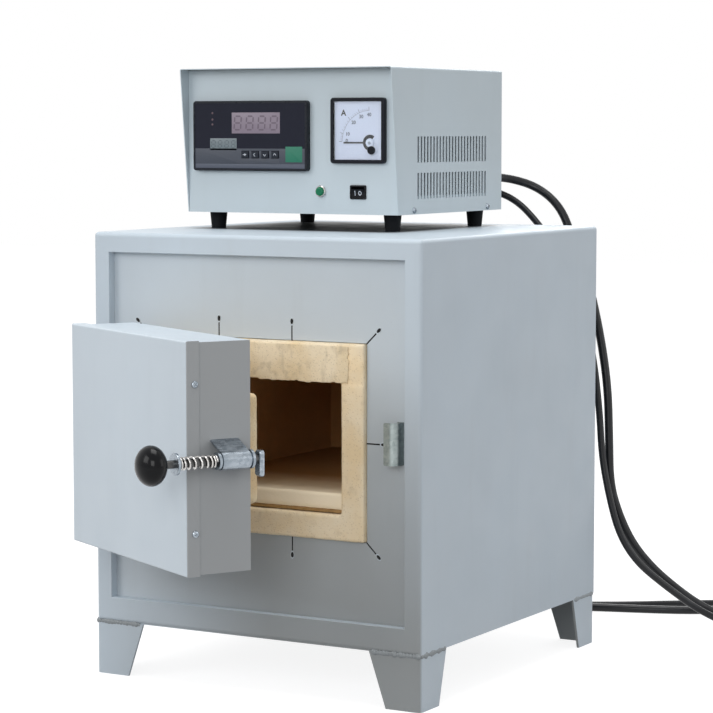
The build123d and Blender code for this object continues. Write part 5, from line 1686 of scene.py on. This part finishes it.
@dataclass
class Instrument(SubAssembly):
    """Temperature instrument: smoked window, printed zones, readouts, diodes and keys."""

    left: float = -0.1795
    low: float = 0.611
    face: float = -0.0851
    thick: float = 0.00014
    rim: float = 0.003
    rim_gap: float = 0.0003
    glue: float = 0.00002
    plate_edge: float = 0.00004
    width: float = 0.165
    slate_top: float = 0.0275
    band_top: float = 0.0086
    main_readout: tuple[Pair, Pair] = ((0.057, 0.1265), (0.046, 0.0716))
    set_readout: tuple[Pair, Pair] = ((0.0252, 0.064), (0.0255, 0.040))
    patch: tuple[Pair, Pair] = ((0.1345, 0.1583), (0.011, 0.030))
    main_figure: Triple = (0.0165, 0.0095, 0.0009)
    set_figure: Triple = (0.0088, 0.0052, 0.0005)
    digits: int = 4
    slant: float = 0.08
    diodes: tuple[Pair, ...] = ((0.0286, 0.071), (0.0286, 0.063), (0.0286, 0.057))
    diode: Triple = (0.0014, 0.0014, 0.0004)
    key_left: float = 0.0715
    key_pitch: float = 0.0144
    key_size: Pair = (0.010, 0.008)
    key_low: float = 0.016
    key_gap: float = 0.0006
    key_face: float = -0.0865

    def plate(self, name: str, spans: tuple[Pair, Pair], finish: Finish, corner: float,
              layer: int = 0) -> None:
        """Stick a thin printed plate on the window.

        Args:
            name: Name of the piece.
            spans: Its spans in X and Z from the bezel's lower left corner.
            finish: Finish.
            corner: Corner radius.
            layer: 0 on the window, 1 on another plate.
        """
        x_span = tuple(self.left + value for value in spans[0])
        z_span = tuple(self.low + value for value in spans[1])
        back = self.face + self.glue - layer * self.thick
        outline = rounded_outline(x_span, z_span, corner)
        mesh = slab(name, outline, back - self.thick, back, self.plate_edge)
        new_piece(name, mesh, "furnace", finish)

    def segment_seats(self, spans: tuple[Pair, Pair], figure: Triple) -> list[Seat]:
        """Places of the bars of a row of seven-bar figures on a readout.

        Args:
            spans: Readout spans from the bezel's lower left corner.
            figure: Height and width of a figure, and half the thickness of a bar.

        Returns:
            The seats.
        """
        (x_low, x_high), (z_low, z_high) = spans
        height, wide, bar = figure
        pitch = (x_high - x_low) / self.digits
        y, z = self.face - self.thick, self.low + (z_low + z_high) / 2
        seats = []
        for digit in range(self.digits):
            x = self.left + x_low + pitch * (digit + 0.5)
            for level in (-1, 0, 1):
                size = (wide / 2 - bar * 1.3, bar, self.thick)
                at = (x + level * height * self.slant / 2, y, z + level * height / 2)
                seats.append(facing(at, TO_FRONT, 0.0, size))
            for side in (-1, 1):
                for half in (-1, 1):
                    size = (height / 4 - bar * 1.1, bar, self.thick)
                    at = (x + side * wide / 2 + half * height * self.slant / 4, y, z + half * height / 4)
                    seats.append(facing(at, TO_FRONT, math.pi / 2 - self.slant, size))
        return seats

    def key_mark(self, mark: KeyMark) -> list[list[Pair]]:
        """Outlines of a key's mark, in millimetres from the key's middle.

        Args:
            mark: Which mark.

        Returns:
            Closed outlines.
        """
        chevron = [(-2.0, -1.0), (0.0, 1.2), (2.0, -1.0), (2.0, -0.1), (0.0, 2.1), (-2.0, -0.1)]
        if mark is KeyMark.RAISE:
            return [chevron]
        if mark is KeyMark.LOWER:
            return [[(x, -z) for x, z in reversed(chevron)]]
        if mark is KeyMark.SHIFT:
            return [[(-z, x) for x, z in chevron]]
        return [[(-2.6, -0.4), (-0.9, -0.4), (-0.9, 0.5), (-2.6, 0.5)],
                [(-0.3, -1.5), (2.4, 0.05), (-0.3, 1.6)]]

    def build(self, shop: Workshop) -> None:
        """Dress the instrument and print its face."""
        shop.dress(Finish.BEZEL, "instrument_body")
        shop.dress(Finish.WINDOW, "instrument_window")
        gap, key_width = self.key_gap, self.key_size[0]
        low_edge = self.rim + self.rim_gap
        span = (low_edge, self.width - self.rim - self.rim_gap)
        keys = (self.key_left - gap, self.key_left + 3 * self.key_pitch + key_width + gap)
        key_span = (self.key_low - gap, self.key_low + self.key_size[1] + gap)
        zones = [("slate_zone_left", (span[0], keys[0]), (self.band_top, self.slate_top)),
                 ("slate_zone_right", (keys[1], span[1]), (self.band_top, self.slate_top)),
                 ("slate_zone_over", keys, (key_span[1], self.slate_top)),
                 ("slate_zone_under", keys, (self.band_top, key_span[0]))]
        for index in range(len(KeyMark) - 1):
            left = self.key_left + index * self.key_pitch + key_width + gap
            right = self.key_left + (index + 1) * self.key_pitch - gap
            zones.append(("slate_between_keys_%d" % (index + 1), (left, right), key_span))
        for name, x_span, z_span in zones:
            self.plate(name, (x_span, z_span), Finish.SLATE, 0.00005)
        self.plate("pale_lower_band", (span, (low_edge, self.band_top)), Finish.BAND, 0.0004)
        self.plate("main_readout_glass", self.main_readout, Finish.READOUT, 0.0006)
        self.plate("set_readout_glass", self.set_readout, Finish.SETPOINT, 0.0005)
        self.plate("green_corner_patch", self.patch, Finish.PATCH, 0.0004, layer=1)
        bar = slab("bar", [(-1, 0), (-0.8, -1), (0.8, -1), (1, 0), (0.8, 1), (-0.8, 1)], -1.0, 0.2)
        bar.transform(Matrix.Rotation(-math.pi / 2, 4, "X"))
        for name, spans, figure, finish in (
                ("main_readout_bars", self.main_readout, self.main_figure, Finish.SEGMENT),
                ("set_readout_bars", self.set_readout, self.set_figure, Finish.SMALL_SEGMENT)):
            bars = shop.scatter.run(bar, self.segment_seats(spans, figure), finish)
            new_piece(name, bars, "furnace")
        dome = lathe("diode", [(0.0, -0.2), (1.0, -0.2), (1.0, 0.1), (0.8, 0.5), (0.4, 0.75), (0.0, 0.8)],
                     20)
        lights = [facing((self.left + x, self.face, self.low + z), TO_FRONT, 0.0, self.diode)
                  for x, z in self.diodes]
        new_piece("state_diodes", shop.scatter.run(dome, lights, Finish.DIODE), "furnace")
        for index, mark in enumerate(KeyMark):
            self.build_key(shop, index, mark)

    def build_key(self, shop: Workshop, index: int, mark: KeyMark) -> None:
        """Print one key's mark.

        Args:
            shop: Frame and shared trees.
            index: Number of the key, from 0.
            mark: What is printed on it.
        """
        node = "key_%d" % (index + 1)
        shop.dress(Finish.KEYS, node)
        x = self.left + self.key_left + index * self.key_pitch + self.key_size[0] / 2
        z = self.low + self.key_low + self.key_size[1] / 2
        shape = bmesh.new()
        outlines = [[(x + px * MM, z + pz * MM) for px, pz in line] for line in self.key_mark(mark)]
        for line in outlines:
            shape.from_mesh(slab("mark", line, self.key_face - self.thick, self.key_face + 0.00005))
        new_piece("%s_print" % node, bmesh_to_mesh("key_print", shape), node + "_body", Finish.MARK)


@dataclass
class Ammeter(SubAssembly):
    """Moving-coil ammeter: case, printed dial, hub, needle, cover and zero screw."""

    pivot: Pair = (0.0705, 0.646)
    dial_face: float = -0.0798
    scale_radius: float = 0.0385
    figure_radius: float = 0.0322
    major: tuple[float, ...] = (2.0, 16.3, 45.4, 68.0, 88.0)
    minor_between: int = 4
    hub: Pair = (0.0054, 0.0096)
    hub_sweep: Pair = (52.0, 262.0)
    print_height: float = 0.00007
    print_sink: float = 0.00002
    line_width: Pair = (0.0001, 0.0002)
    long_tick: Triple = (0.0022, 0.00026, 0.00008)
    short_tick: Triple = (0.0013, 0.00016, 0.00008)
    figure_size: float = 0.0058
    figure_lift: float = 0.0012
    letter_at: Pair = (0.0340, 0.6815)
    letter_size: float = 0.0098
    hub_height: float = 0.0002
    cap_back: float = -0.08075
    cap_radius: float = 0.0052
    cap_shoulder: float = 0.0004
    cap_height: float = 0.0006
    cap_screw: Pair = (0.0022, 0.0005)
    cap_screw_turn: float = 0.5

    def direction(self, degrees: float) -> Vector:
        """Which way the needle points when it has turned by an angle from its rest at the left."""
        angle = math.radians(degrees)
        return Vector((-math.cos(angle), 0.0, math.sin(angle)))

    def tick_seats(self) -> list[Seat]:
        """Places of the marks of the scale."""
        seats = []
        parts = self.minor_between + 1
        for step in range((len(self.major) - 1) * parts + 1):
            low, share = divmod(step, parts)
            high = min(low + 1, len(self.major) - 1)
            degrees = self.major[low] + (self.major[high] - self.major[low]) * share / parts
            way = self.direction(degrees)
            tick = self.short_tick if share else self.long_tick
            middle = Vector((self.pivot[0], self.dial_face, self.pivot[1]))
            at = middle + way * (self.scale_radius + tick[0])
            seats.append(facing(at, TO_FRONT, math.atan2(way.z, way.x), tick))
        return seats

    def arc(self, inner: float, outer: float, start: float, stop: float, front: float, back: float,
            steps: int = 48) -> bpy.types.Mesh:
        """A flat curved band about the pivot.

        Args:
            inner: Inner radius.
            outer: Outer radius.
            start: First angle, from +X towards +Z.
            stop: Last angle.
            front: Y of the front.
            back: Y of the back.
            steps: Runs along it.

        Returns:
            The mesh.
        """
        angles = [math.radians(start + (stop - start) * step / steps) for step in range(steps + 1)]
        x, z = self.pivot
        rim = [(x + outer * math.cos(angle), z + outer * math.sin(angle)) for angle in angles]
        rim += [(x + inner * math.cos(angle), z + inner * math.sin(angle)) for angle in reversed(angles)]
        shape = bmesh.new()
        count = steps + 1
        layers = [[shape.verts.new((x, y, z)) for x, z in rim] for y in (front, back)]
        for index in range(steps):
            other = 2 * count - 1 - index
            for layer in layers:
                shape.faces.new((layer[index], layer[index + 1], layer[other - 1], layer[other]))
        for index in range(2 * count):
            after = (index + 1) % (2 * count)
            shape.faces.new((layers[0][index], layers[1][index], layers[1][after], layers[0][after]))
        return bmesh_to_mesh("arc", shape)

    def build(self, shop: Workshop) -> None:
        """Dress the meter and print its dial."""
        shop.dress(Finish.METER, "meter_case", "zero_screw")
        shop.dress(Finish.DIAL, "meter_dial")
        shop.dress(Finish.COVER, "meter_cover")
        shop.dress(Finish.INK, "meter_needle")
        bar = bmesh.new()
        bmesh.ops.create_cube(bar, size=2.0)
        ticks = shop.scatter.run(bmesh_to_mesh("tick", bar), self.tick_seats(), Finish.FAINT)
        new_piece("scale_marks", ticks, "furnace")
        sunk = self.dial_face + self.print_sink
        inner, outer = self.scale_radius - self.line_width[0], self.scale_radius + self.line_width[1]
        line = self.arc(inner, outer, 180 - self.major[-1], 180 - self.major[0],
                        self.dial_face - self.print_height, sunk)
        new_piece("scale_line", line, "furnace", Finish.FAINT)
        figures = []
        for index, degrees in enumerate(self.major):
            at = self.direction(degrees) * self.figure_radius
            x, z = self.pivot[0] + at.x, self.pivot[1] + at.z + self.figure_lift
            place = Matrix.Translation((x, self.dial_face, z)) @ STAND_UP
            figures.append((words(str(index * 10), self.figure_size), place))
        new_piece("scale_figures", joined("scale_figures", figures), "furnace", Finish.FAINT)
        place = Matrix.Translation((self.letter_at[0], self.dial_face, self.letter_at[1])) @ STAND_UP
        letter = joined("unit_letter", [(words("A", self.letter_size), place)])
        new_piece("unit_letter", letter, "furnace", Finish.INK)
        hub = self.arc(*self.hub, *self.hub_sweep, self.dial_face - self.hub_height, sunk)
        new_piece("hub_ring", hub, "furnace", Finish.METER)
        self.build_cap()

    def build_cap(self) -> None:
        """Set the white cap and its screw over the needle's pivot."""
        place = Matrix.Translation((self.pivot[0], self.cap_back, self.pivot[1])) @ STAND_UP
        reach, height = self.cap_radius, self.cap_height
        cap = lathe("cap", [(0.0, 0.0), (reach, 0.0), (reach, self.cap_shoulder), (reach * 0.93, height),
                            (0.0, height)])
        cap.transform(place)
        new_piece("pivot_cap", cap, "furnace", Finish.DIAL)
        head = screw_head(*self.cap_screw)
        turn = Matrix.Rotation(self.cap_screw_turn, 4, "Z")
        head.transform(place @ Matrix.Translation((0.0, 0.0, height)) @ turn)
        new_piece("pivot_screw", head, "furnace", Finish.ZINC)


@dataclass
class LampAndSwitch(SubAssembly):
    """Green lamp and the rocker switch with its I and O."""

    rocker: Triple = (0.053, -0.0745, 0.5865)
    tilt: float = 12.0
    mark_height: float = 0.0058
    mark_gap: float = 0.0046
    middle_reach: float = 0.0048
    end_reach: float = 0.0056
    half_height: float = 0.0052
    print_gap: float = 0.00003
    half_stroke: float = 0.0005
    stroke_shift: float = 0.0012
    stroke_depth: Pair = (-0.0001, 0.00005)
    ring: Pair = (0.0014, 0.0023)
    ring_height: float = 0.00015
    ring_shift: float = 0.0008
    ring_tall: float = 1.2

    def wrap(self, mesh: bpy.types.Mesh) -> None:
        """Bend a flat mark on to the rocker's two faces.

        Args:
            mesh: Mark about the origin, in X and Z, its depth along Y.
        """
        for point in mesh.vertices:
            share = min(1.0, abs(point.co.z) / self.half_height)
            surface = self.middle_reach + (self.end_reach - self.middle_reach) * share
            point.co.y = point.co.y - surface - self.print_gap

    def build(self, shop: Workshop) -> None:
        """Dress the lamp and switch and print the marks."""
        shop.dress(Finish.STEEL, "lamp_bezel")
        shop.dress(Finish.LENS, "lamp_lens")
        shop.dress(Finish.SWITCH, "switch_frame", "switch_rocker")
        shape = bmesh.new()
        half, tall = self.half_stroke, self.mark_height / 2
        shift = self.mark_gap / 2
        upright = [(-half, -tall), (half, -tall), (half, 0.0), (half, tall), (-half, tall), (-half, 0.0)]
        one = slab("one", [(x - shift - self.stroke_shift, z) for x, z in upright], *self.stroke_depth)
        (inner, outer), high = self.ring, self.ring_height
        ring = lathe("ring", [(inner, 0.0), (outer, 0.0), (outer, high), (inner, high), (inner, 0.0)], 36)
        ring.transform(Matrix.Translation((shift + self.ring_shift, self.stroke_depth[1], 0.0))
                       @ STAND_UP @ Matrix.Diagonal((1.0, self.ring_tall, 1.0, 1.0)))
        for mesh in (one, ring):
            self.wrap(mesh)
            shape.from_mesh(mesh)
        place = Matrix.Translation(self.rocker) @ Matrix.Rotation(math.radians(self.tilt), 4, "X")
        marks = bmesh_to_mesh("switch_marks", shape, place)
        new_piece("switch_marks", marks, "rocker_body", Finish.MARK)


def main() -> None:
    """Load the frame, dress it and add every piece."""
    logging.basicConfig(level=logging.INFO, format="%(name)s %(message)s")
    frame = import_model()
    Studio().build()
    shop = Workshop(frame, Scatter(), CoilTree())
    for cord in (HEATER_CORD, SENSOR_CORD):
        cord.build()
    for kind in (FurnaceShell, ReliefCuts, CeramicLining, Door, Latch, ControllerCase, Instrument,
                 Ammeter, LampAndSwitch):
        kind().build(shop)
        LOG.info("%s done", kind.__name__)
    bpy.context.view_layer.update()


if __name__ == "__main__":
    main()
